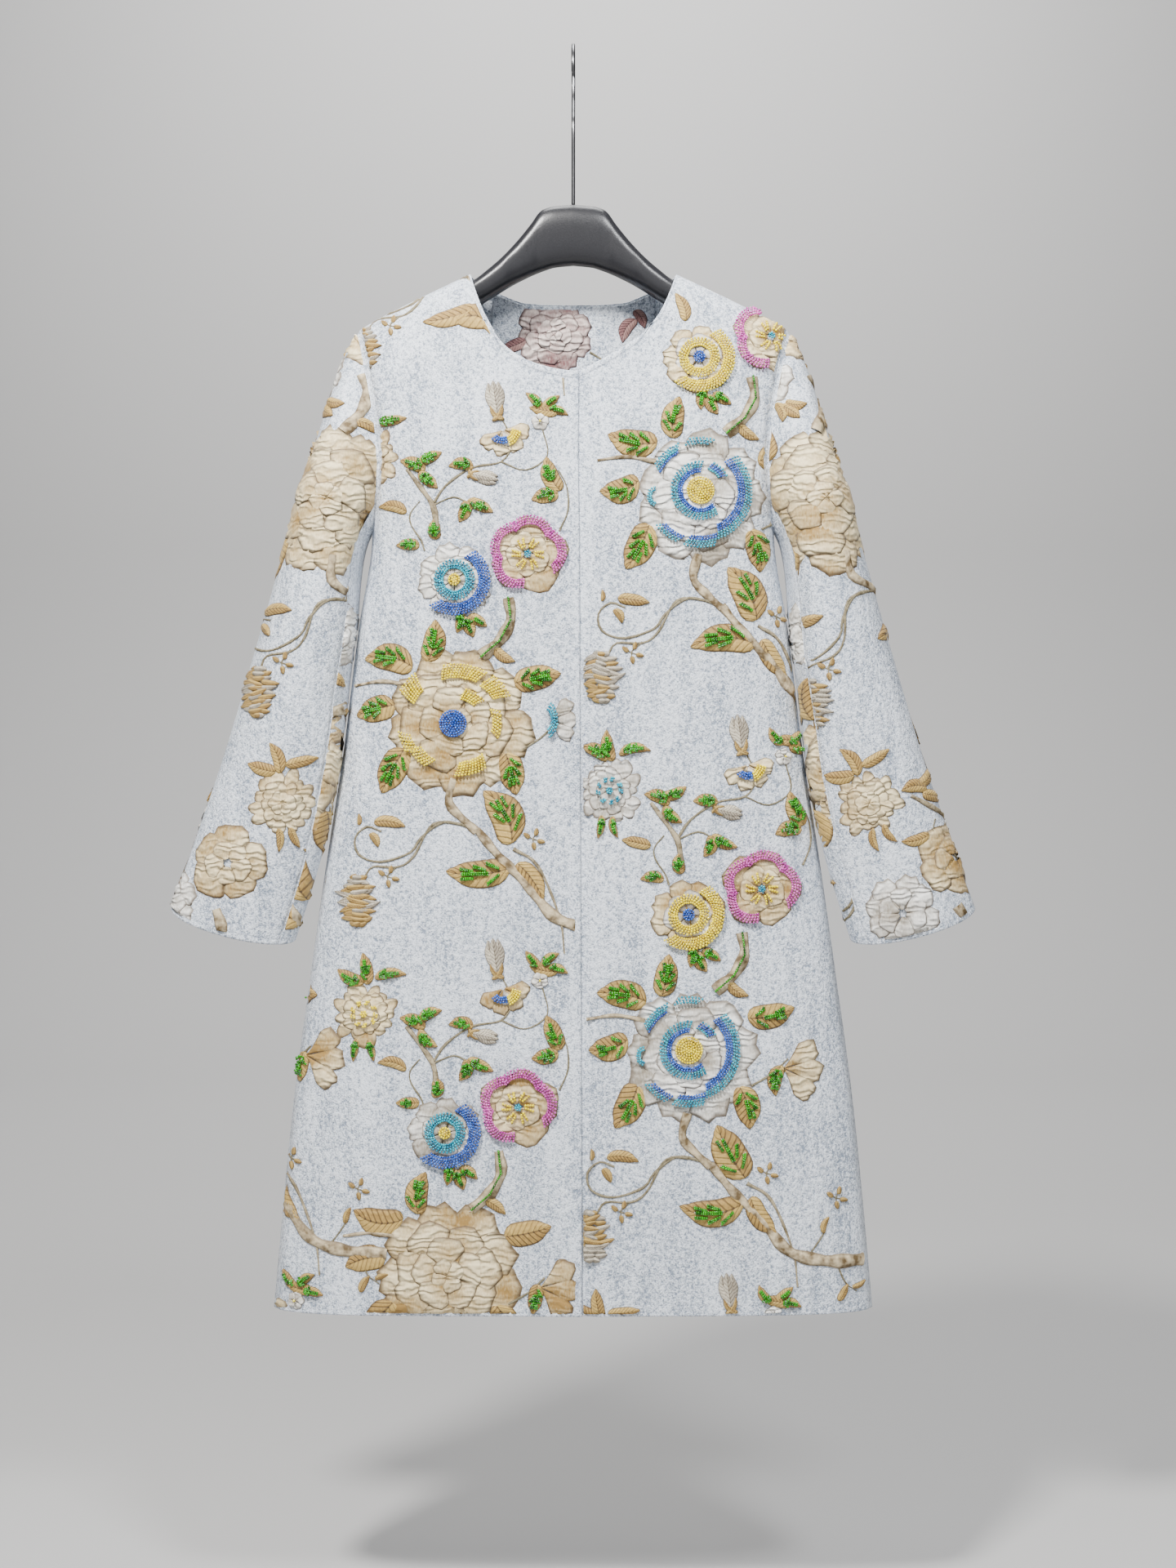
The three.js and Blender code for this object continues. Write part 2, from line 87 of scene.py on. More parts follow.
BODY = table("drop half front back", [
    [-60, 180, 42, 38], [46, 180, 43, 39], [80, 181, 47, 42], [133, 179, 54, 47],
    [160, 176.5, 56, 49], [190, 172.5, 57.5, 50], [219, 169, 58, 50.5], [303, 181, 57, 50],
    [407, 194, 55, 49], [484, 206, 54, 49], [581, 220, 54, 50], [700, 236, 55, 52],
    [900, 255, 56, 54],
])
# Angles of the armhole's edges on the body's section; 0 is the wearer's left side, 90 the front.
ARMHOLE = table("drop front back", [
    [46, 0, 0], [49, 9, -8], [54, 14, -12], [62, 19, -16], [76, 24.5, -21], [96, 29, -26],
    [122, 33, -30], [150, 34, -32], [178, 30, -29.5], [198, 22.5, -22], [212, 15, -9],
    [219, SIDE_SEAM, SIDE_SEAM],
])
NECKLINE = table("out right left back", [
    [0, 89, 89, 18], [16, 86.5, 83, 18], [40.3, 78.5, 69, 17], [60.7, 62.5, 54, 11],
    [73.5, 39.5, 36, 5.5], [84.2, 9.5, 9.5, 1], [NECK_HALF, 0, 0, 0],
])
SHOULDER = table("out drop", [
    [0, -37], [NECK_HALF, 0], [120, 15.5], [150, 30], [170, 40.4], [SHOULDER_HALF, SHOULDER_DROP],
])
SLEEVE = table("outerX outerDrop innerX innerDrop depth forward armhole tilt", [
    [180, 46, 167.9, 219, 0, 0, 1, 0], [189, 60, 171, 225, 50, 3, 0.72, 0],
    [197, 80, 174, 232, 52, 5, 0.46, 0], [207, 112, 177, 246, 54, 8, 0.22, 0],
    [218, 150, 179, 265, 54, 11, 0.07, 0], [230, 190, 180.5, 289, 52, 14, 0, 1],
    [243, 237, 183.7, 316, 49, 17, 0, 2], [256, 284, 187.2, 345, 46, 19, 0, 3],
    [270, 333, 190.5, 376, 42, 21, 0, 4], [283, 378, 194.5, 409, 38, 23, 0, 5],
    [296, 420, 200, 445, 34.5, 24, 0, 6], [309, 458, 208, 483, 31.5, 25, 0, 8],
    [322, 496, 219, 522, 29, 26, 0, 9], [335, 533, 231, 559, 27, 27, 0, 10],
])
LAST_RING = len(SLEEVE["outerX"]) - 1.0
HANGER = table("out top bottom half", [
    [0, -59.3, -8.3, 11], [16, -58, -6.6, 11], [25, -55.5, -3.8, 11], [29, -52.5, -2.3, 11],
    [35, -44, 0.2, 11.5], [42, -35, 3.5, 12], [50, -25.5, 7.5, 12.5], [60, -15, 13.3, 13.5],
    [72, -4.5, 20.8, 13.5], [84, 4.6, 27.7, 14.5], [100, 10.8, 35.5, 16.5],
    [120, 19.8, 44.5, 16.5], [140, 29.4, 52.5, 15.5], [152, 35.6, 56, 13.5],
    [158, 39.5, 55.5, 10], [161, 43, 52, 5],
])
# Soft folds: where each lies, which way it runs (degrees from level), and its size. The face
# column is -1 for the front and 1 for the back.
FOLDS = table("face x drop turn length width height", [
    [-1, -150, 300, 74, 150, 26, 1.6], [-1, 150, 286, 104, 170, 30, 1.8],
    [-1, -196, 640, 84, 320, 34, 2.6], [-1, 186, 600, 97, 300, 38, 2.4],
    [-1, -60, 720, 88, 260, 40, 1.5], [-1, 70, 770, 93, 220, 44, 1.7],
    [-1, 150, 470, 70, 90, 18, -1.2], [-1, -130, 520, 108, 110, 20, -1.2],
    [1, -140, 300, 72, 180, 30, 2.0], [1, 128, 270, 106, 150, 26, 1.7],
    [1, -60, 560, 86, 380, 44, 3.0], [1, 92, 620, 95, 340, 40, 2.8],
    [1, -190, 700, 82, 300, 36, 2.4], [1, 196, 690, 98, 300, 34, 2.2],
    [1, 10, 330, 88, 210, 30, -1.4],
])
# The same on the sleeves, by ring and by angle round the tube; 90 is its front.
SLEEVE_FOLDS = table("side ring round length width height", [
    [1, 6.6, 150, 1.1, 26, 1.6], [1, 7.6, 120, 1.4, 22, 1.3], [1, 8.9, 158, 0.9, 30, 1.5],
    [-1, 6.2, 145, 1.2, 28, 1.5], [-1, 8.2, 152, 1.0, 24, 1.4], [-1, 9.6, 118, 1.1, 20, 0.9],
    [1, 3.4, 60, 1.6, 22, 1.2], [-1, 3.1, 66, 1.4, 20, 1.1], [1, 7.0, 230, 1.2, 34, 1.8],
    [-1, 6.8, 236, 1.3, 34, 1.7], [1, 9.4, 250, 1.2, 26, 1.2], [-1, 10.2, 244, 1.2, 26, 1.2],
])


def reader(rows, at, value):
    """Reads one column of a table at a place along another, without overshoot between rows."""
    x, y = rows[at], rows[value]
    slope = np.diff(y) / np.diff(x)
    before, after = slope[:-1], slope[1:]
    same = before * after > 0
    inner = np.where(same, 2 * before * after / np.where(same, before + after, 1), 0)
    tangent = np.concatenate([slope[:1], inner, slope[-1:]])

    def read(place):
        place = np.clip(place, x[0], x[-1])
        i = np.clip(np.searchsorted(x, place, side="right") - 1, 0, len(x) - 2)
        span = x[i + 1] - x[i]
        u = (place - x[i]) / span
        rise, start, end = y[i + 1] - y[i], span * tangent[i], span * tangent[i + 1]
        return y[i] + u * (start + u * (3 * rise - 2 * start - end + u * (start + end - 2 * rise)))

    return read


half_width = reader(BODY, "drop", "half")
front_depth = reader(BODY, "drop", "front")
back_depth = reader(BODY, "drop", "back")
armhole_front = reader(ARMHOLE, "drop", "front")
armhole_back = reader(ARMHOLE, "drop", "back")
shoulder_drop = reader(SHOULDER, "out", "drop")
neck_drops = {piece: reader(NECKLINE, "out", piece) for piece in ("right", "left", "back")}
SLEEVE["ring"] = np.arange(LAST_RING + 1)
sleeve_row = {name: reader(SLEEVE, "ring", name) for name in SLEEVE if name != "ring"}
hanger_row = {name: reader(HANGER, "out", name) for name in ("top", "bottom", "half")}


def smoothstep(value, low, high):
    t = np.clip((value - low) / (high - low), 0, 1)
    return t * t * (3 - 2 * t)


def unit(vectors):
    return vectors / np.maximum(np.linalg.norm(vectors, axis=-1, keepdims=True), 1e-9)


def folds(x, drop, face):
    """Height of the soft folds and of the cloth's slow waves at a place on the body."""
    total = np.zeros(np.broadcast(x, drop).shape)
    for i in np.flatnonzero(FOLDS["face"] == face):
        turn = math.radians(FOLDS["turn"][i])
        across, down = x - FOLDS["x"][i], drop - FOLDS["drop"][i]
        along = across * math.cos(turn) + down * math.sin(turn)
        away = down * math.cos(turn) - across * math.sin(turn)
        shape = np.exp(-((2 * along / FOLDS["length"][i]) ** 2) - (away / FOLDS["width"][i]) ** 2)
        total = total + FOLDS["height"][i] * shape
    skirt = smoothstep(drop, 330, COAT_LENGTH)
    waves = np.sin(x / 31 + 0.7 * face + drop / 420) + 0.5 * np.sin(x / 17.3 - 1.1 * face)
    share = np.abs(x) / half_width(drop)
    return (total + 0.9 * skirt * waves) * (1 - share**7) * smoothstep(drop, 225, 300)


def body_point(degrees, drop):
    """The body's outside by angle on its section and drop, without folds."""
    cos, sin = np.cos(np.radians(degrees)), np.sin(np.radians(degrees))
    x = half_width(drop) * np.sign(cos) * np.abs(cos) ** (2 / CORNER)
    depth = np.where(sin > 0, front_depth(drop), back_depth(drop))
    left = 1 - np.clip((drop - shoulder_drop(np.abs(x))) / SHOULDER_REACH, 0, 1)
    reached = np.maximum(1 - left**SHOULDER_ROUND, 0) ** (1 / SHOULDER_ROUND)
    y = -depth * reached * np.sign(sin) * np.abs(sin) ** (2 / CORNER)
    return np.stack([x, y, -HOOK_TO_NECK - drop], axis=-1)


def body_normal(degrees, drop):
    across = body_point(degrees + 0.05, drop) - body_point(degrees - 0.05, drop)
    down = body_point(degrees, drop + 0.1) - body_point(degrees, drop - 0.1)
    normal = unit(np.cross(across, down))
    x = body_point(degrees, drop)[..., 0]
    out = np.abs(x)
    slope = (shoulder_drop(out + 1) - shoulder_drop(out - 1)) / 2
    ridge = np.stack([np.sign(x) * slope, 0 * x, 1 + 0 * x], axis=-1)
    return np.where((drop - shoulder_drop(out) < 0.3)[..., None], unit(ridge), normal)


def body_surface(degrees, drop, lift=0.0):
    """A point of the cloth's outside with its folds, moved out by lift, and the way out."""
    point, normal = body_point(degrees, drop), body_normal(degrees, drop)
    face = np.where(np.sin(np.radians(degrees)) > 0, -1, 1)
    height = np.where(face < 0, folds(point[..., 0], drop, -1), folds(point[..., 0], drop, 1))
    return point + normal * (height + lift)[..., None], normal


def sleeve_point(ring, degrees):
    """The left sleeve's outside; 0 degrees is its outer edge, 90 its front, 180 the underarm."""
    turn = np.radians(degrees)
    along, sine = (1 - np.cos(turn)) / 2, np.sin(turn)
    row = {name: read(ring) for name, read in sleeve_row.items()}
    drop = SHOULDER_DROP + (UNDERARM_DROP - SHOULDER_DROP) * along
    seam = body_point(np.where(sine >= 0, armhole_front(drop), armhole_back(drop)), drop)
    straight = SLEEVE["outerX"][0] + (SLEEVE["innerX"][0] - SLEEVE["outerX"][0]) * along
    x = row["outerX"] + (row["innerX"] - row["outerX"]) * along
    x = x + row["armhole"] * (seam[..., 0] - straight)
    y = -row["depth"] * sine - row["forward"]
    y = y + row["armhole"] * (seam[..., 1] - y)
    low = row["outerDrop"] + (row["innerDrop"] - row["outerDrop"]) * along
    return np.stack([x, y, -HOOK_TO_NECK - low - row["tilt"] * sine], axis=-1)


def sleeve_surface(ring, degrees, side, lift=0.0):
    """A point of a sleeve with its folds, moved out by lift, and the way out."""
    point = sleeve_point(ring, degrees)
    around = sleeve_point(ring, degrees + 0.5) - sleeve_point(ring, degrees - 0.5)
    after, before = np.minimum(ring + 0.03, LAST_RING), np.maximum(ring - 0.03, 0)
    down = sleeve_point(after, degrees) - sleeve_point(before, degrees)
    normal = unit(np.cross(around, down))
    middle = (sleeve_point(ring, 0 * degrees) + sleeve_point(ring, 0 * degrees + 180)) / 2
    middle[..., 1] = -sleeve_row["forward"](ring)
    outward = np.sum(normal * (point - middle), axis=-1)
    normal = normal * np.where(outward < 0, -1, 1)[..., None]
    height = np.zeros(point.shape[:-1])
    for i in np.flatnonzero(SLEEVE_FOLDS["side"] == side):
        rise = (ring - SLEEVE_FOLDS["ring"][i]) / SLEEVE_FOLDS["length"][i]
        slant = (degrees - SLEEVE_FOLDS["round"][i] + 14 * rise) / SLEEVE_FOLDS["width"][i]
        height = height + SLEEVE_FOLDS["height"][i] * np.exp(-(rise**2) - slant**2)
    height = height * smoothstep(ring, 1, 2.5)
    point = point + normal * (height + lift)[..., None]
    mirror = np.array([side, 1, 1])
    return point * mirror, normal * mirror


class BodyChart:
    """Places figures on a body panel by x and drop; face is -1 on the front and 1 on the back."""

    def __init__(self, face, low, high, neck):
        self.face, self.low, self.high, self.neck = face, low, high, neck
        self.way = face

    def limits(self, x, drop):
        drop = np.minimum(drop, COAT_LENGTH - 2.0)
        edge = armhole_front(drop) if self.face < 0 else armhole_back(drop)
        edge = np.where(drop < UNDERARM_DROP, edge, SIDE_SEAM)
        limit = half_width(drop) * np.abs(np.cos(np.radians(edge))) ** (2 / CORNER) - 1.5
        x = np.clip(x, np.maximum(self.low, -limit), np.minimum(self.high, limit))
        out = np.abs(x)
        top = np.where(out < NECK_HALF, neck_drops[self.neck](out) + 6.5, shoulder_drop(out) + 2)
        return x, np.maximum(drop, top)

    def locate(self, x, drop):
        """The nearest place on the panel, and whether the wanted one is off it."""
        near_x, near_drop = self.limits(x, drop)
        return (near_x, near_drop), np.abs(near_x - x) + np.abs(near_drop - drop) > 1e-6

    def surface(self, where):
        x, drop = where
        share = np.clip(np.abs(x) / half_width(drop), 0, 1)
        degrees = np.degrees(np.arccos(np.sign(x) * share ** (CORNER / 2)))
        return body_surface(degrees * -self.face, drop)

    def point(self, where, lift):
        point, normal = self.surface(where)
        return point + normal * lift[..., None]


class FacingChart(BodyChart):
    """Places figures on the inside of the facing behind the neck."""

    def __init__(self):
        super().__init__(1, -FACING_HALF, FACING_HALF, "back")
        self.way = -1

    def limits(self, x, drop):
        x = np.clip(x, 3 - FACING_HALF, FACING_HALF - 3)
        out = np.abs(x)
        top = neck_drops["back"](out) + 3.5
        return x, np.clip(drop, top, top + FACING_DEPTH - 4 - 8 * out / FACING_HALF)

    def point(self, where, lift):
        point, normal = self.surface(where)
        return point - normal * (WALL + FACING_GAP + FACING_WALL + lift)[..., None]


class SleeveChart:
    """Places figures on the front (face -1) or back (face 1) of a sleeve by x and drop."""

    def __init__(self, side, face, low, high):
        self.side, self.face, self.low, self.high, self.way = side, face, low, high, face
        rings, turns = np.meshgrid(np.linspace(0.3, LAST_RING, 53), np.linspace(6, 174, 42), indexing="ij")
        self.rings, self.turns = rings.ravel(), turns.ravel()
        self.grid = sleeve_point(self.rings, -face * self.turns)

    def locate(self, x, drop):
        """The ring and angle at a place seen from the front, and whether it is off the piece."""
        goal = np.stack([np.abs(x).ravel(), -HOOK_TO_NECK - drop.ravel()], axis=1)
        start = [np.argmin((self.grid[:, 0] - a) ** 2 + (self.grid[:, 2] - b) ** 2) for a, b in goal]
        ring, turn = self.rings[start], self.turns[start]
        for _ in range(7):
            here = sleeve_point(ring, -self.face * turn)
            by_ring = sleeve_point(ring - 0.02, -self.face * turn)
            by_turn = sleeve_point(ring, -self.face * (turn + 0.5))
            a, b = (here - by_ring)[:, [0, 2]] / 0.02, (by_turn - here)[:, [0, 2]] / 0.5
            miss = goal - here[:, [0, 2]]
            area = a[:, 0] * b[:, 1] - a[:, 1] * b[:, 0]
            area = np.where(np.abs(area) < 1e-3, 1e-3, area)
            more_ring = (miss[:, 0] * b[:, 1] - miss[:, 1] * b[:, 0]) / area
            more_turn = (a[:, 0] * miss[:, 1] - a[:, 1] * miss[:, 0]) / area
            ring = np.clip(ring + np.clip(more_ring, -1, 1), 0.3, LAST_RING - 0.08)
            turn = np.clip(turn + np.clip(more_turn, -15, 15), self.low, self.high)
        here = sleeve_point(ring, -self.face * turn)
        away = np.linalg.norm(here[:, [0, 2]] - goal, axis=1) > 0.6
        return (ring.reshape(x.shape), turn.reshape(x.shape)), away.reshape(x.shape)

    def point(self, where, lift):
        ring, turn = where
        return sleeve_surface(ring, -self.face * turn, self.side, lift)[0]


def new_object(name, vertices, faces, attributes=None):
    """A mesh object from points in millimetres, with smooth faces and point attributes."""
    mesh = bpy.data.meshes.new(name)
    mesh.from_pydata((np.asarray(vertices) * METRES).tolist(), [], np.asarray(faces).tolist())
    mesh.validate()
    mesh.shade_smooth()
    for key, values in (attributes or {}).items():
        layer = mesh.attributes.new(key, "FLOAT", "POINT")
        layer.data.foreach_set("value", np.asarray(values, dtype=np.float32))
    obj = bpy.data.objects.new(name, mesh)
    bpy.context.scene.collection.objects.link(obj)
    return obj


def grid_faces(rows, columns, start=0):
    """Quads of a grid of points, row by row."""
    i, j = np.meshgrid(np.arange(rows - 1), np.arange(columns - 1), indexing="ij")
    a = (start + i * columns + j).ravel()
    return np.stack([a, a + 1, a + columns + 1, a + columns], axis=1)


def outward(vertices, faces):
    """Faces of a closed mesh turned so that they all point out."""
    corners = vertices[faces]
    volume = np.einsum("ij,ij->", corners[:, 0], np.cross(corners[:, 1], corners[:, 2]))
    volume += np.einsum("ij,ij->", corners[:, 0], np.cross(corners[:, 2], corners[:, 3]))
    return faces[:, ::-1] if volume < 0 else faces


def shell(name, outer, inner, edge):
    """A closed cloth wall from grids of outer and inner points, with a rounded edge."""
    rows, columns = outer.shape[:2]
    count = rows * columns
    index = np.arange(count).reshape(rows, columns)
    loop = np.concatenate([index[0, :-1], index[:-1, -1], index[-1, :0:-1], index[:0:-1, 0]])
    flat_outer, flat_inner = outer.reshape(-1, 3), inner.reshape(-1, 3)
    inside = np.pad(index[1:-1, 1:-1], 1, mode="edge").ravel()[loop]
    away = unit(flat_outer[loop] - flat_outer[inside])
    thick = np.linalg.norm(flat_outer[loop] - flat_inner[loop], axis=1, keepdims=True)
    rim = (flat_outer[loop] + flat_inner[loop]) / 2 + away * thick * 0.3
    vertices = np.concatenate([flat_outer, flat_inner, rim])
    front = grid_faces(rows, columns)
    behind = grid_faces(rows, columns, count)[:, ::-1]
    here, after = np.arange(len(loop)), np.roll(np.arange(len(loop)), -1)
    first = np.stack([loop[after], loop, 2 * count + here, 2 * count + after], axis=1)
    second = np.stack([2 * count + after, 2 * count + here, count + loop, count + loop[after]], axis=1)
    faces = outward(vertices, np.concatenate([front, behind, first, second]))
    flat = edge.ravel()
    return new_object(name, vertices, faces, {"edge": np.concatenate([flat, flat, flat[loop]])})


def columns_of(face, neck, outs):
    """Share of each column, its top drop, and the drops of its points, for one half panel."""
    share = 1 - np.arccos(np.sign(outs) * (np.abs(outs) / SHOULDER_HALF) ** (CORNER / 2)) / (math.pi / 2)
    high, low = np.full(len(outs), -20.0), np.full(len(outs), 130.0)
    for _ in range(40):
        middle = (high + low) / 2
        x = body_point(panel_angle(face, share, middle), middle)[:, 0]
        out = np.abs(x)
        if neck == "left":
            hidden = x < FRONT_EDGE
            edge = neck_drops["left"](out)
            edge = np.where(hidden, neck_drops["right"](out) + UNDERLAP_LOWER, edge)
        else:
            edge = neck_drops[neck](out)
        edge = np.where(out < NECK_HALF, edge, shoulder_drop(out))
        high, low = np.where(middle < edge, middle, high), np.where(middle < edge, low, middle)
    top = (high + low) / 2
    near = np.array([0, 0.9, 2.6, 4.6, 5.6, 6.6, 9.0])
    start = top[:, None] + near[-1]
    steps = np.linspace(0, 1, 37)[None, 1:]
    upper = np.concatenate([top[:, None] + near, start + (UNDERARM_DROP - start) * steps], axis=1)
    hem = COAT_LENGTH - np.array([3.5, 1.2, 0])
    lower = np.concatenate([np.linspace(UNDERARM_DROP, COAT_LENGTH - 6, 112)[1:], hem])
    drops = np.concatenate([upper, np.repeat(lower[None], len(outs), axis=0)], axis=1)
    return share[:, None], drops


def panel_angle(face, share, drop):
    """Angle on the section of a place on the wearer's left half of a panel."""
    if face == "front":
        return 90 - (90 - armhole_front(drop)) * share
    return -90 + (90 + np.where(drop < UNDERARM_DROP, armhole_back(drop), SIDE_SEAM)) * share


def body_panel(name, face, neck, halves, sink=None):
    """A shell for a body panel from the outs of its columns on each side, in order."""
    points, ways, edges = [], [], []
    for side, outs in halves:
        share, drops = columns_of(face, neck, np.asarray(outs, dtype=float))
        degrees = panel_angle(face, share, drops)
        if side < 0:
            degrees = 180 - degrees if face == "front" else -180 - degrees
        point, way = body_surface(degrees, drops)
        below = drops - drops[:, :1]
        turned = 0.35 * smoothstep(below, 0, 1.5) * (1 - smoothstep(below, 4.6, 5.6))
        turned = turned * (np.abs(point[..., 0]) < NECK_HALF)
        point = point + way * turned[..., None]
        if sink is not None:
            point = point - way * sink(point[..., 0], drops)[..., None]
        points.append(point)
        ways.append(way)
        edges.append(np.where(np.abs(point[..., 0]) < NECK_HALF + 2, below, 99.0))
    point, way = np.concatenate(points), np.concatenate(ways)
    point = pull_in(point)
    inner = point - way * (WALL - 0.25)
    return shell(name, point, inner, np.concatenate(edges))


def pull_in(point):
    """Moves a grid's edges in by half a seam gap."""
    moved = point.copy()
    for edge, inside in ((0, 1), (-1, -2)):
        moved[edge] += unit(point[inside] - point[edge]) * SEAM_GAP / 2
        moved[:, edge] += unit(point[:, inside] - point[:, edge]) * SEAM_GAP / 2
    return moved


def lap_sink(x, drop):
    """How far the lower front lies below the top one near the middle."""
    edge = FRONT_EDGE * half_width(drop) / SHOULDER_HALF
    return (WALL + LAYER_GAP) * (1 - smoothstep(x - edge, LAP_RAMP * 0.1, LAP_RAMP))


def outs_between(low, high, count):
    """Places along a panel's top edge, closer together at its two ends and at the neck point."""
    t = np.linspace(0, 1, count)
    even = low + (high - low) * (0.5 - 0.5 * np.cos(math.pi * t)) * 0.45 + (high - low) * t * 0.55
    neck = [NECK_HALF - 4, NECK_HALF - 1.8, NECK_HALF, NECK_HALF + 2.5]
    return np.unique(np.concatenate([even, [x for x in neck if low < x < high]]))


def make_front_right(name):
    outs = outs_between(-FRONT_EDGE, SHOULDER_HALF, 62)
    return body_panel(name, "front", "right", [(-1, outs)])


def make_front_left(name):
    outs = outs_between(FRONT_EDGE - UNDERLAP, SHOULDER_HALF, 72)
    return body_panel(name, "front", "left", [(1, outs)], lap_sink)


def make_back(name):
    outs = outs_between(0, SHOULDER_HALF, 58)
    return body_panel(name, "back", "back", [(1, outs[::-1]), (-1, outs[1:])])


def make_facing(name):
    outs = np.linspace(0, FACING_HALF, 26)
    share, _ = columns_of("back", "back", outs)
    top = neck_drops["back"](outs)[:, None] + 1.5
    long = FACING_DEPTH - 8 * outs[:, None] / FACING_HALF
    drops = top + long * np.linspace(0, 1, 30)[None]
    left = panel_angle("back", share, drops)[::-1]
    degrees = np.concatenate([left, -180 - left[::-1][1:]])
    drops = np.concatenate([drops[::-1], drops[1:]])
    point, way = body_surface(degrees, drops, -WALL - FACING_GAP)
    below = drops - drops[:, :1]
    return shell(name, point, point - way * FACING_WALL, below + 50)


def make_sleeve(name, side, start, end, count):
    """A sleeve piece between two angles round its tube, from the armhole to the cuff."""
    main_rings = np.linspace(0.5, LAST_RING - 0.1, 96)
    rings = np.concatenate([[0, 0.06, 0.15, 0.3], main_rings, [LAST_RING - 0.04, LAST_RING]])
    turns = np.linspace(start, end, count)
    turn_grid, ring_grid = np.meshgrid(turns, rings, indexing="ij")
    point, way = sleeve_surface(ring_grid, turn_grid, side)
    point = pull_in(point)
    return shell(name, point, point - way * (WALL - 0.25), (LAST_RING - ring_grid) * 42)


def angle_at(drop):
    """Angle round the sleeve's tube of a drop on the armhole."""
    along = (drop - SHOULDER_DROP) / (UNDERARM_DROP - SHOULDER_DROP)
    return math.degrees(math.acos(1 - 2 * along))


FRONT_SEAM = angle_at(ARMHOLE["drop"][9])
BACK_SEAM = angle_at(ARMHOLE["drop"][7])
# A sleeve piece: the angles that it runs between, and its columns.
UPPER = (-BACK_SEAM, FRONT_SEAM, 56)
UNDER = (FRONT_SEAM, 360 - BACK_SEAM, 30)


def curve_through(knots, steps_between):
    """Points of a smooth curve through a row of places in a plane."""
    ends = np.concatenate([[2 * knots[0] - knots[1]], knots, [2 * knots[-1] - knots[-2]]])
    path = []
    for i in range(len(knots) - 1):
        a, b, c, d = ends[i : i + 4]
        steps = steps_between(b, c)
        for t in np.arange(steps) / steps:
            bend, twist = 2 * a - 5 * b + 4 * c - d, 3 * b - a - 3 * c + d
            path.append(0.5 * (2 * b + (c - a) * t + bend * t**2 + twist * t**3))
    return np.array(path + [knots[-1]])


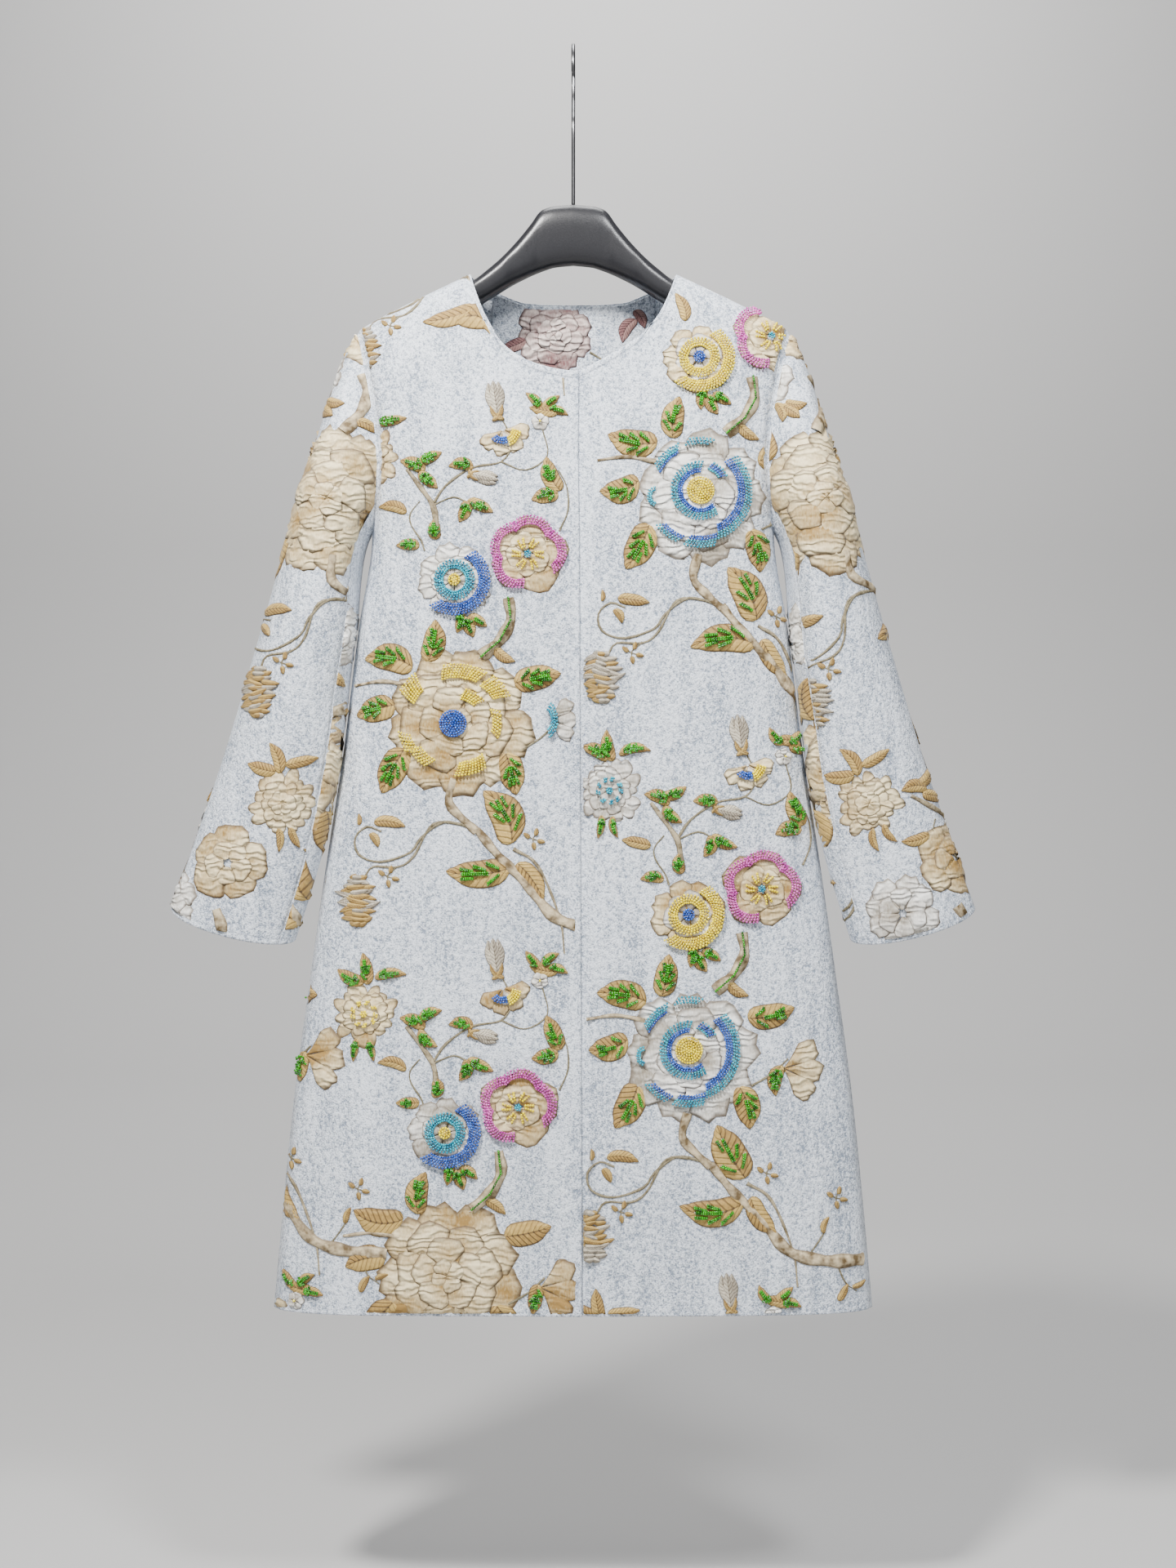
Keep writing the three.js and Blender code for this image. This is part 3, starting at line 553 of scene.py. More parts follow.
class Figures:
    """Raised figures, threads and beads on one panel, placed by x and drop in millimetres."""

    def __init__(self, chart, seed, height=1.0, beaded=True):
        self.chart, self.beaded = chart, beaded
        self.random = np.random.default_rng(seed)
        self.height = height
        self.patches = {"tan": [], "cream": [], "stems": []}
        self.beads = {}
        self.threads = []

    def patch(self, kind, x, drop, lift, values):
        """One raised piece from a grid of places and heights above the cloth."""
        where, cut = self.chart.locate(x, drop)
        if np.all(cut):
            return
        points = self.chart.point(where, np.where(cut, -0.4, lift * self.height)).reshape(-1, 3)
        faces = grid_faces(*x.shape)
        a, b, c, d = (points[faces[:, k]] for k in range(4))
        size = np.linalg.norm(np.cross(c - a, d - b), axis=1)
        flat = np.stack([x.ravel(), drop.ravel()], axis=1)[faces]
        one, two = flat[:, 2] - flat[:, 0], flat[:, 3] - flat[:, 1]
        turned = np.median(one[:, 0] * two[:, 1] - one[:, 1] * two[:, 0]) * self.chart.way < 0
        faces = faces[(size > 0.02) & ~np.all(cut.ravel()[faces], axis=1)]
        if turned:
            faces = faces[:, ::-1]
        self.patches[kind].append((points, faces, {k: v.ravel() for k, v in values.items()}))

    def leaf(self, x, drop, length, width, turn, beads=0, kind="tan", bend=None, lift=0.0):
        """A pointed leaf about its middle; turn 0 points to the wearer's left, 90 down."""
        bend = self.random.uniform(-0.16, 0.16) if bend is None else bend
        u = np.array([0, 0.02, 0.08, 0.18, 0.3, 0.42, 0.54, 0.66, 0.77, 0.86, 0.93, 0.98, 1.0])[:, None]
        v = np.array([-1, -0.96, -0.8, -0.5, -0.2, 0, 0.2, 0.5, 0.8, 0.96, 1.0])[None]
        if length < 16:
            u, v = u[[0, 2, 4, 6, 8, 10, 12]], v[:, [0, 2, 5, 8, 10]]
        outline = 2.35 * u**0.55 * (1 - u) ** 0.85 * (1 + 0.07 * np.sin(44 * u + 5))
        along = length * (u - 0.5) + 0 * v
        across = width / 2 * outline * v + length * bend * 4 * u * (1 - u)
        cos, sin = math.cos(math.radians(turn)), math.sin(math.radians(turn))
        edge = np.minimum(np.minimum(1 - np.abs(v), 9 * u), 9 * (1 - u)) + 0 * u
        rise = 1.7 * (1 - (1 - np.clip(edge, 0, 1)) ** 3) - 0.35 * np.exp(-((v / 0.12) ** 2))
        rise = np.where(edge <= 0, -0.35, rise + 0.25 + lift)
        tone = self.random.uniform(0, 0.35)
        values = {"edge": edge, "along": u + 0 * v, "across": v + 0 * u}
        values.update({"tone": tone + 0 * edge, "vein": 1 + 0 * edge})
        place_x, place_drop = x + along * cos - across * sin, drop + along * sin + across * cos
        self.patch(kind, place_x, place_drop, rise, values)
        if beads:
            self.vein_beads(x, drop, length, width, turn, beads, bend)

    def vein_beads(self, x, drop, length, width, turn, pairs, bend):
        """Short raised rows of green beads along a leaf's middle and veins."""
        cos, sin = math.cos(math.radians(turn)), math.sin(math.radians(turn))

        def at(u, v):
            u = min(u, 0.93)
            reach = min(1, 2.35 * u**0.55 * (1 - u) ** 0.85)
            along, across = length * (u - 0.5), v * reach * width / 2 + length * bend * 4 * u * (1 - u)
            return x + along * cos - across * sin, drop + along * sin + across * cos

        gap = 4.0 / width
        for off in (-gap / 2, gap / 2):
            self.strand(at(0.36, off), at(0.74, off), "green", 1.3)
        for k in range(min(pairs, 3)):
            start = 0.16 + 0.2 * k
            for way in (-1, 1):
                if self.random.random() < 0.8:
                    for off in (0, gap):
                        tip = at(start + 0.2, way * (0.72 - 0.08 * k - off))
                        self.strand(at(start + 0.03, way * (0.3 - off / 2)), tip, "green", 1.2)

    def strand(self, start, end, colour, arch, base=2.6):
        """A row of beads on a thread from one place to another, standing up in the middle."""
        if not self.beaded:
            return
        (x0, d0), (x1, d1) = start, end
        count = max(2, int(round(math.hypot(x1 - x0, d1 - d0) / STRAND_STEP)) + 1)
        t = np.linspace(0, 1, count)
        lift = base + arch * np.sin(math.pi * t) + self.random.normal(0, 0.08, count)
        self.add_beads(x0 + (x1 - x0) * t, d0 + (d1 - d0) * t, lift, [colour] * count)
        t = np.linspace(-0.14, 1.14, 7)
        height = np.where(np.abs(t - 0.5) > 0.6, 1.0, base + arch * np.sin(math.pi * np.clip(t, 0, 1)))
        self.add_thread(x0 + (x1 - x0) * t, d0 + (d1 - d0) * t, height)

    def add_thread(self, x, drop, lift):
        where, cut = self.chart.locate(x, drop)
        if not np.any(cut):
            self.threads.append(self.chart.point(where, lift))

    def add_beads(self, x, drop, lift, colours):
        where, cut = self.chart.locate(x, drop)
        for point, colour, off in zip(self.chart.point(where, lift), colours, cut):
            if not off:
                self.beads.setdefault(colour, []).append(point)

    def petal(self, x, drop, turn, spread, inner, outer, kind, layer=0.0, lobes=2, tone=None, dome=1.15):
        """A broad petal from near a flower's middle out to its rim."""
        u = np.array([0, 0.03, 0.12, 0.28, 0.46, 0.64, 0.8, 0.91, 0.975, 1.0])[:, None]
        v = np.array([-1, -0.965, -0.85, -0.6, -0.3, 0, 0.3, 0.6, 0.85, 0.965, 1.0])[None]
        phase = self.random.uniform(0, 6)
        tip = 1 - 0.3 * np.abs(v) ** 2.6 + 0.045 * np.cos(lobes * math.pi * v + phase)
        radius = inner + (outer - inner) * u * tip
        angle = np.radians(turn + spread / 2 * v * (0.62 + 0.5 * u - 0.12 * u**3))
        edge = np.minimum(np.minimum(1 - np.abs(v), 1.5 * (1 - u)), 0.6 + 3 * u)
        rise = dome * (1 - (1 - np.clip(edge * 1.3, 0, 1)) ** 2.4) + 0.8 * layer + 0.2
        border = (np.abs(v) >= 1) | (u >= 1)
        rise = np.where(border, -0.35, rise) + 0 * radius
        tone = (0.5 if tone is None else tone) + self.random.uniform(-0.2, 0.2)
        values = {"edge": edge + 0 * radius, "along": u + 0 * v, "across": v + 0 * u}
        values.update({"tone": tone + 0 * radius, "vein": 0 * radius})
        self.patch(kind, x + radius * np.cos(angle), drop + radius * np.sin(angle), rise, values)

    def ring_of_petals(self, x, drop, count, inner, outer, kind, layer=0.0, start=None, overlap=1.25, **more):
        start = self.random.uniform(0, 360) if start is None else start
        for k in range(count):
            wobble = self.random.uniform(-5, 5)
            reach = outer * self.random.uniform(0.93, 1.05)
            turn = start + 360 * k / count + wobble
            level = layer + 0.6 * (k % 2)
            self.petal(x, drop, turn, 360 / count * overlap, inner, reach, kind, level, **more)

    def ribbon(self, places, wide, narrow):
        """A stem or vine, round across, through a few places."""
        knots = np.array(places, dtype=float)
        path = curve_through(knots, lambda start, end: max(3, int(np.hypot(*(end - start)) / 4.5)))
        run = np.linspace(0, 1, len(path))
        way = unit(np.gradient(path, axis=0))
        side = np.stack([-way[:, 1], way[:, 0]], axis=1)
        v = np.array([-1, -0.8, -0.35, 0, 0.35, 0.8, 1.0])
        width = (wide + (narrow - wide) * run) / 2
        width = width * (1 + 0.16 * np.sin(run * len(path) * 1.1 + self.random.uniform(0, 6)))
        x = path[:, None, 0] + side[:, None, 0] * v * width[:, None]
        drop = path[:, None, 1] + side[:, None, 1] * v * width[:, None]
        rise = 0.9 * np.sqrt(np.maximum(1 - v**2, 0))[None] * np.minimum(width, 2.6)[:, None] / 1.3
        rise = np.where(np.abs(v)[None] >= 1, -0.35, rise + 0.2)
        edge = (1 - np.abs(v))[None] + 0 * x
        values = {"edge": edge, "along": run[:, None] + 0 * x, "across": v[None] + 0 * x}
        values.update({"tone": np.clip((wide - 2) / 6, 0, 1) + 0 * x, "vein": 0 * x})
        self.patch("stems", x, drop, rise, values)

    def rays(self, x, drop, inner, start, end, rows, colours, base=3.1, arch=0.9, slant=6, flat=1.0):
        """Radial rows of beads along an arc, from its inside outwards."""
        if not self.beaded:
            return
        if rows > 2:
            arc = abs(math.radians(end - start)) * (inner + len(colours)) * flat
            rows = max(rows, int(arc / BEAD_ROW_STEP) + 1)
        for angle in np.linspace(start, end, rows):
            turn = np.radians(angle + slant * np.linspace(-0.5, 0.5, len(colours)))
            radius = inner + BEAD_STEP * np.arange(len(colours)) + self.random.uniform(-0.3, 0.3)
            lift = base + arch * np.sin(math.pi * np.linspace(0.12, 0.88, len(colours)))
            lift = lift + self.random.normal(0, 0.1)
            place_x, place_drop = x + radius * np.cos(turn), drop + flat * radius * np.sin(turn)
            self.add_beads(place_x, place_drop, lift, colours)
            self.add_thread(place_x, place_drop, lift)

    def disc(self, x, drop, radius, colour, base=3.2):
        """A domed round patch of beads."""
        if not self.beaded:
            return
        self.add_beads(np.array([x]), np.array([drop]), np.array([base + 1.6]), [colour])
        for ring in range(1, int(radius / DISC_STEP) + 1):
            count = int(6.2 * ring)
            turn = np.linspace(0, 2 * math.pi, count, endpoint=False) + self.random.uniform(0, 1)
            away = DISC_STEP * ring
            dome = 1.6 * math.sqrt(max(0, 1 - (away / (radius + 2)) ** 2))
            lift = base + dome + self.random.normal(0, 0.12, count)
            self.add_beads(x + away * np.cos(turn), drop + away * np.sin(turn), lift, [colour] * count)


def small_flower(figures, x, drop, radius, colours):
    """A small round flower: puckered petals, a ring and an arc of bead rows, a beaded middle."""
    kind = "cream" if colours[0] == "blue" else "tan"
    figures.ring_of_petals(x, drop, 8, 0.15 * radius, radius, kind, 0, lobes=3, tone=0.7)
    figures.ring_of_petals(x, drop, 6, 0.1 * radius, 0.68 * radius, "cream", 1.2, tone=0.75)
    middle, ring, arc = colours[1], colours[2], colours[0]
    figures.disc(x, drop, 0.2 * radius, middle)
    figures.rays(x, drop, 0.32 * radius, -180, 172, 24, [ring] * 4, slant=9)
    figures.rays(x, drop, 0.66 * radius, -58, 128, 23, [arc] * 5, slant=10)


def rayed_flower(figures, x, drop, radius):
    """A five-petalled flower with a scalloped edge of pink bead rows and yellow rays."""
    figures.ring_of_petals(x, drop, 5, 0.14 * radius, radius, "tan", 0, start=-80, overlap=1.2, tone=0.5)
    figures.ring_of_petals(x, drop, 5, 0.1 * radius, 0.6 * radius, "tan", 1.2, start=-44, tone=0.8)
    for k in range(5):
        turn = -80 + 72 * k
        if k == 2 and radius > 31:
            continue
        bow = math.radians(turn)
        centre_x, centre_drop = x + 0.34 * radius * math.cos(bow), drop + 0.34 * radius * math.sin(bow)
        figures.rays(centre_x, centre_drop, 0.42 * radius, turn - 62, turn + 62, 13, ["pink"] * 4, slant=8)
    for k in range(6):
        figures.rays(x, drop, 0.2 * radius, 60 * k - 10, 60 * k + 10, 2, ["yellow"] * 4, base=3.1)
    figures.disc(x, drop, 0.1 * radius, "turquoise", base=2.8)


def peony(figures, x, drop, radius, scheme):
    """A large open flower in four layers of broad petals."""
    pale = scheme == "blue"
    outer = "cream" if pale else "tan"
    figures.ring_of_petals(x, drop, 9, 0.2 * radius, radius, outer, 0, lobes=3, overlap=1.3, tone=0.45)
    figures.ring_of_petals(x, drop, 7, 0.15 * radius, 0.76 * radius, outer, 1.4, overlap=1.3, tone=0.6)
    figures.ring_of_petals(x, drop, 5, 0.08 * radius, 0.5 * radius, outer, 2.8, overlap=1.2, tone=0.8)
    figures.ring_of_petals(x, drop, 4, -0.07 * radius, 0.24 * radius, outer, 3.8, tone=0.9)
    if scheme == "blue":
        deep, light = "blue", "turquoise"
        figures.disc(x - 2, drop - 6, 0.2 * radius, "yellow", base=5.0)
        figures.rays(x - 2, drop - 6, 0.27 * radius, 52, 272, 30, [deep, deep, light, light, light], base=4.3)
        figures.rays(x - 2, drop - 6, 0.34 * radius, -66, -34, 5, [light, deep, deep, light], base=4.3)
        figures.rays(x - 2, drop - 6, 0.56 * radius, -46, 66, 26, [deep] * 3 + [light] * 3, base=3.9)
        figures.rays(x - 2, drop - 4, 0.64 * radius, 72, 104, 10, [deep, deep, light, light, light], base=3.6)
        figures.rays(x - 2, drop - 4, 0.68 * radius, 114, 140, 8, [deep, deep, light, light], base=3.6)
        figures.rays(x - 2, drop - 6, 0.7 * radius, -104, -78, 8, [light] * 3, base=3.6)
        figures.rays(x - 2, drop - 6, 0.64 * radius, -152, -118, 11, [deep, light, light, light], base=3.6)
        figures.rays(x - 0.66 * radius, drop - 1, 0.1 * radius, 110, 250, 9, [light] * 2, base=3.4)
    if scheme == "gold":
        figures.disc(x - 3, drop + 1, 0.18 * radius, "blue", base=5.2)
        for turn, away, rows, beads in GOLD_PATCHES:
            start, end = turn - 2.4 * rows, turn + 2.4 * rows
            figures.rays(x, drop, away * radius, start, end, rows, ["yellow"] * beads, base=3.8)


# Yellow bead patches on the gold flower: direction, distance as a share of its radius, rows, beads.
GOLD_PATCHES = [
    (-84, 0.6, 9, 6), (-143, 0.62, 4, 8), (-42, 0.58, 5, 7), (-60, 0.32, 7, 5),
    (0, 0.48, 7, 4), (72, 0.54, 7, 6), (158, 0.64, 4, 5), (136, 0.58, 5, 5),
]


def daisy(figures, x, drop, radius, colour):
    """A ragged flower with many slim petals."""
    kind = "cream" if colour == "turquoise" else "tan"
    for layer, (count, reach) in enumerate(((15, 1.0), (11, 0.72), (7, 0.42))):
        for k in range(count):
            turn = 360 * k / count + figures.random.uniform(-6, 6) + 11 * layer
            out = radius * reach * figures.random.uniform(0.8, 1.08)
            figures.petal(x, drop, turn, 520 / count, -0.06 * radius, out, kind, 1.1 * layer, 1, dome=1.0)
    if colour is None:
        return
    figures.disc(x, drop, 0.12 * radius, colour, base=3.9)
    for k in range(9):
        turn = 40 * k + figures.random.uniform(-8, 8)
        figures.rays(x, drop, 0.3 * radius, turn, turn + 9, 2, [colour] * 2, base=3.8)


def side_flower(figures, x, drop, radius, colours):
    """A half-open flower seen from the side, opening down and to the wearer's left."""
    foot = (x - 0.3 * radius, drop - 0.5 * radius)
    for turn in (140, 95, 50, 5):
        figures.petal(*foot, turn, 55, 0.1 * radius, 1.5 * radius, "tan", 0.4, tone=0.7)
    figures.petal(*foot, 70, 60, 0.1 * radius, 1.0 * radius, "cream", 1.6, tone=0.8)
    if colours:
        figures.rays(*foot, 0.55 * radius, 8, 62, 7, [colours[1]] * 4)
        figures.rays(*foot, 0.5 * radius, 72, 132, 6, [colours[0]] * 3)


def bud(figures, x, drop, length, width, turn):
    """A closed bud: three narrow petals and two small sepals."""
    for side in (-1, 1):
        figures.leaf(x, drop, 0.95 * length, 0.62 * width, turn + 17 * side, 0, "cream", 0.1 * side)
    figures.leaf(x, drop, length, 0.6 * width, turn, 0, "cream", 0.0, 0.7)
    back = math.radians(turn)
    base_x, base_drop = x - 0.42 * length * math.cos(back), drop - 0.42 * length * math.sin(back)
    for side in (-1, 1):
        out = turn + 38 * side
        figures.leaf(base_x, base_drop, 0.55 * length, 0.3 * width, out, 0, "tan", 0.15 * side, 0.9)


def cone(figures, x, drop, width, length):
    """A ragged cone-shaped bud made of short, nearly level petals."""
    for row in range(11):
        level = -0.5 + (row + 0.5) / 11
        reach = width / 2 * math.sqrt(max(0.1, 1 - (2 * level) ** 2)) * figures.random.uniform(0.85, 1.2)
        for shift in (-0.55, 0.0, 0.5):
            out = reach * (shift + figures.random.uniform(-0.12, 0.12))
            way = (0 if shift >= 0 else 180) + figures.random.uniform(-22, 22)
            kind = "tan" if figures.random.random() < 0.45 else "cream"
            long = figures.random.uniform(0.75, 1.15) * reach
            lift = 0.2 + 0.5 * (shift == 0)
            figures.leaf(x + out, drop + level * length, long, 0.15 * length, way, 0, kind, 0.05, lift)


def berries(figures, x, drop):
    """A twig with four small buds."""
    for dx, dd, turn in ((-5, -3, -140), (3, -6, -80), (7, 2, 10), (1, 6, 80)):
        figures.ribbon([(x, drop), (x + 0.6 * dx, drop + 0.6 * dd)], 1.2, 0.9)
        figures.leaf(x + dx, drop + dd, 7, 5, turn, 0, "tan", 0.0, 0.2)


# One repeat of the woven branch, round the middle of its large flower (millimetres).
# Leaves: x, drop, length, width, turn, bead pairs.
UNIT_LEAVES = [
    (-21, -67, 36, 23, -80, 3), (-57, -49, 42, 28, 190, 3), (-68, -10, 34, 26, 165, 3),
    (-53, 40, 42, 29, 118, 3), (66, -36, 40, 25, -12, 3), (44, 42, 37, 26, 76, 3),
    (39, -56, 22, 11, 35, 0), (33, 78, 50, 34, -118, 4), (17, 121, 54, 28, 177, 4),
    (60, 131, 38, 20, 55, 0), (-56, 84, 27, 12, 8, 0), (-69, 97, 14, 9, 60, 0),
    (-82, 80, 10, 5, -90, 0), (-88, 209, 25, 14, 205, 2), (-76, 203, 27, 13, -100, 2),
    (-55, 209, 27, 11, -6, 2), (-84, 270, 20, 8, 100, 1), (-71, 270, 19, 8, 76, 1),
    (71, 202, 25, 12, 190, 0), (-37, 247, 23, 14, 200, 2), (-22, 241, 21, 12, -24, 2),
    (-24, 260, 21, 12, 40, 2), (3, 249, 21, 13, 182, 2), (5, 286, 19, 13, 112, 2),
    (19, 282, 24, 12, 24, 2), (79, 255, 31, 18, -112, 3), (72, 274, 23, 16, 168, 2),
    (-54, 283, 25, 12, 192, 0), (-41, 313, 20, 12, 180, 2), (-18, 300, 18, 13, -92, 2),
    (9, -78, 19, 13, 62, 1), (1, -82, 18, 11, 100, 1), (17, -83, 18, 11, 30, 1),
    (112, 140, 15, 7, -70, 0), (126, 196, 16, 8, -60, 0), (140, 190, 13, 6, -20, 0),
]
# Stems: width at the start and end, then the places that each runs through.
UNIT_STEMS = [
    (9, 11, [(42, -102), (44, -84), (35, -67), (20, -54)]),
    (8, 7, [(-3, 46), (-7, 66), (5, 80), (16, 90)]),
    (7, 12, [(16, 88), (34, 110), (58, 134), (80, 160), (110, 169), (144, 171)]),
    (2.6, 1.8, [
        (13, 87), (-11, 82), (-30, 95), (-39, 107), (-64, 115), (-82, 109), (-85, 95), (-75, 86),
        (-63, 90),
    ]),
    (2.6, 1.8, [(6, 84), (-20, 84), (-36, 110), (-49, 119), (-70, 119), (-77, 128)]),
    (1.5, 1.1, [(-49, 118), (-58, 126)]),
    (2.4, 1.6, [(50, 24), (67, 14), (80, 2)]),
    (4.5, 2.5, [(-38, -30), (-62, -34), (-86, -31)]),
    (3.2, 1.5, [(46, 104), (66, 118), (84, 160), (88, 190)]),
    (3.5, 5.5, [(-42, 250), (-30, 266), (-20, 281), (-17, 298)]),
    (2.6, 1.5, [(-19, 278), (-9, 264), (12, 250), (36, 245), (47, 230)]),
    (1.8, 1.3, [(-19, 280), (-3, 274), (9, 279)]),
    (1.8, 1.2, [(-27, 318), (-30, 309), (-38, 297), (-39, 287), (-31, 277)]),
    (1.8, 1.2, [(84, 302), (91, 285), (90, 266), (83, 252)]),
    (1.5, 1.2, [(36, 245), (56, 252), (74, 240), (70, 218)]),
    (1.5, 1.1, [(47, 228), (38, 212), (33, 200)]),
    (1.8, 1.0, [(96, 166), (110, 146), (112, 134)]),
    (1.8, 1.0, [(120, 170), (128, 188), (138, 196)]),
]


def place_unit(figures, x, drop, scheme, turn=0.0, small=None, side=None, daisy_colour=None):
    """Draws one repeat of the branch with its large flower at a place, turned about it."""
    cos, sin = math.cos(math.radians(turn)), math.sin(math.radians(turn))

    def at(dx, dd):
        return x + dx * cos - dd * sin, drop + dx * sin + dd * cos

    for wide, narrow, places in UNIT_STEMS:
        figures.ribbon([at(*place) for place in places], wide, narrow)
    for dx, dd, length, width, way, beads in UNIT_LEAVES:
        place = at(dx, dd)
        beads = beads if BEADED_FROM < place[1] < BEADED_TO else 0
        figures.leaf(*place, length, width, way + turn, beads)
    berries(figures, *at(-58, 127))
    berries(figures, *at(62, 96))
    berries(figures, *at(120, 118))
    cone(figures, *at(-82, 147), 34, 42)
    bud(figures, *at(31, 192), 30, 20, -98 + turn)
    bud(figures, *at(23, 258), 23, 16, 12 + turn)
    side_flower(figures, *at(42, 226), 15, small[3] if small else None)
    figures.ring_of_petals(*at(68, 212), 5, 0.5, 7.5, "cream", 0.6, tone=0.6)
    if small:
        figures.disc(*at(68, 212), 1.9, "yellow", base=2.6)
    for dx, dd, way in ((62, 195, -130), (77, 196, -40), (82, 205, 10)):
        figures.leaf(*at(dx, dd), 19, 10, way + turn, 1 if small else 0)
    daisy(figures, *at(-76, 240), 28, daisy_colour)
    middle = small[0] if small else "yellow"
    arc = small[1] if small else "blue"
    small_flower(figures, *at(-2, -117), 31, (arc, middle, small[2] if small else arc))
    rayed_flower(figures, *at(58, -138), 33)
    peony(figures, *at(0, 0), 62 if scheme != "blue" else 56, scheme)
    if figures.beaded:
        stem = [at(*place) for place in UNIT_STEMS[0][2]]
        for start, end in zip(stem[:-1], stem[1:]):
            figures.strand(start, end, "green", 0.8, base=3.6)
    if side == "bud":
        for way in (-40, 0, 40):
            figures.petal(*at(76, -2), way + turn, 46, 1, 24, "cream", 0.6, tone=0.3)
        figures.rays(*at(72, -2), 6, -64, 64, 8, ["turquoise"] * 3, flat=1.5)
    else:
        for way in (-35, 5, 45):
            figures.petal(*at(76, 10), way + turn, 48, 1, 34, "tan", 0.6, tone=0.7)
        figures.leaf(*at(72, 20), 26, 15, 100 + turn, 3)


YELLOW_SMALL = ("blue", "yellow", "yellow", ("blue", "yellow"))
BLUE_SMALL = ("yellow", "blue", "turquoise", ("blue", "yellow"))


def draw_front_right(seed):
    figures = Figures(BodyChart(-1, -400, 2.5, "right"), seed)
    place_unit(figures, -95, -80, "plain", small=BLUE_SMALL, side="bud")
    place_unit(figures, -95, 379, "gold", small=BLUE_SMALL, side="bud", daisy_colour="yellow")
    place_unit(figures, -103, 833, "plain", small=BLUE_SMALL)
    place_unit(figures, -297, 645, "plain", small=BLUE_SMALL)
    figures.leaf(-103, 40, 46, 19, 165, 0)
    return [figures]


def draw_front_left(seed):
    figures = Figures(BodyChart(-1, 8.5, 400, "left"), seed)
    place_unit(figures, 106, 195, "blue", small=YELLOW_SMALL, daisy_colour="turquoise")
    place_unit(figures, 97, 654, "blue", small=YELLOW_SMALL)
    figures.leaf(89, 34, 26, 13, -110, 0)
    return [figures]


def draw_back(seed):
    figures = Figures(BodyChart(1, -400, 400, "back"), seed, beaded=False)
    columns = {0: (-169, 290, 749), -201: (106, 565), 201: (15, 474, 933)}
    for x, drops in columns.items():
        for drop in drops:
            place_unit(figures, x, drop, "plain")
    return [figures]


def draw_facing(seed):
    figures = Figures(FacingChart(), seed, height=0.7, beaded=False)
    peony(figures, -17, 44, 33, "plain")
    figures.leaf(48, 40, 24, 14, 120, 0)
    figures.leaf(57, 30, 18, 11, 60, 0)
    figures.leaf(-52, 52, 24, 13, 160, 0)
    figures.ribbon([(14, 58), (30, 66), (46, 60)], 2.2, 1.4)
    return [figures]


def draw_sleeve(side, seed):
    """The upper sleeve's figures, on its front and on its back."""
    drawn = []
    for face, limit in ((-1, FRONT_SEAM - 1.5), (1, BACK_SEAM - 1.5)):
        figures = Figures(SleeveChart(side, face, 2, limit), seed + face, beaded=False)
        x, turn = (206, -26) if side > 0 else (-201, -9)
        if face > 0:
            x, turn = side * 214, side * -14
        place_unit(figures, x, 196 if face < 0 else 150, "plain", turn)
        place_unit(figures, x + side * 118, 640 if face < 0 else 590, "plain", turn)
        drawn.append(figures)
    return drawn


def draw_under_sleeve(side, seed):
    drawn = []
    for face, limit in ((-1, FRONT_SEAM + 1.5), (1, BACK_SEAM + 1.5)):
        figures = Figures(SleeveChart(side, face, limit, 178), seed + face, beaded=False)
        place_unit(figures, side * 236, 418, "plain", side * -16)
        drawn.append(figures)
    return drawn


# What draws the figures of each node, its arguments, and what is added to the seed.
DRAWN = {
    "front_right": (draw_front_right, (), 0),
    "front_left": (draw_front_left, (), 1),
    "back": (draw_back, (), 2),
    "back_neck_facing": (draw_facing, (), 3),
    "sleeve_upper_right": (draw_sleeve, (-1,), 10),
    "sleeve_upper_left": (draw_sleeve, (1,), 20),
    "sleeve_under_right": (draw_under_sleeve, (-1,), 30),
    "sleeve_under_left": (draw_under_sleeve, (1,), 40),
}


def joined(name, parts):
    """One object from the raised pieces of like colour."""
    vertices, faces, count = [], [], 0
    values = {key: [] for key in ("edge", "along", "across", "tone", "vein")}
    for points, quads, extra in parts:
        vertices.append(points)
        faces.append(quads + count)
        count += len(points)
        for key, value in values.items():
            value.append(extra[key])
    used, faces = np.unique(np.concatenate(faces), return_inverse=True)
    values = {key: np.concatenate(value)[used] for key, value in values.items()}
    return new_object(name, np.concatenate(vertices)[used], faces.reshape(-1, 4), values)


class Wire:
    """A shader value that can be added, multiplied and compared like a number."""

    def __init__(self, shader, socket):
        self.shader, self.socket = shader, socket

    def maths(self, operation, *others, clamp=False):
        return self.shader.node("ShaderNodeMath", {"operation": operation, "use_clamp": clamp}, *others)

    def __add__(self, other):
        return self.maths("ADD", self, other)

    def __radd__(self, other):
        return self.maths("ADD", other, self)

    def __sub__(self, other):
        return self.maths("SUBTRACT", self, other)

    def __rsub__(self, other):
        return self.maths("SUBTRACT", other, self)

    def __mul__(self, other):
        return self.maths("MULTIPLY", self, other)

    def __rmul__(self, other):
        return self.maths("MULTIPLY", other, self)

    def __truediv__(self, other):
        return self.maths("DIVIDE", self, other)

    def __abs__(self):
        return self.maths("ABSOLUTE", self)

    def sine(self):
        return self.maths("SINE", self)

    def fraction(self):
        return self.maths("FRACT", self)

    def step(self, low, high):
        """0 below low, 1 above high, and an even ramp between them."""
        return self.maths("MULTIPLY", self - low, 1 / (high - low), clamp=True)


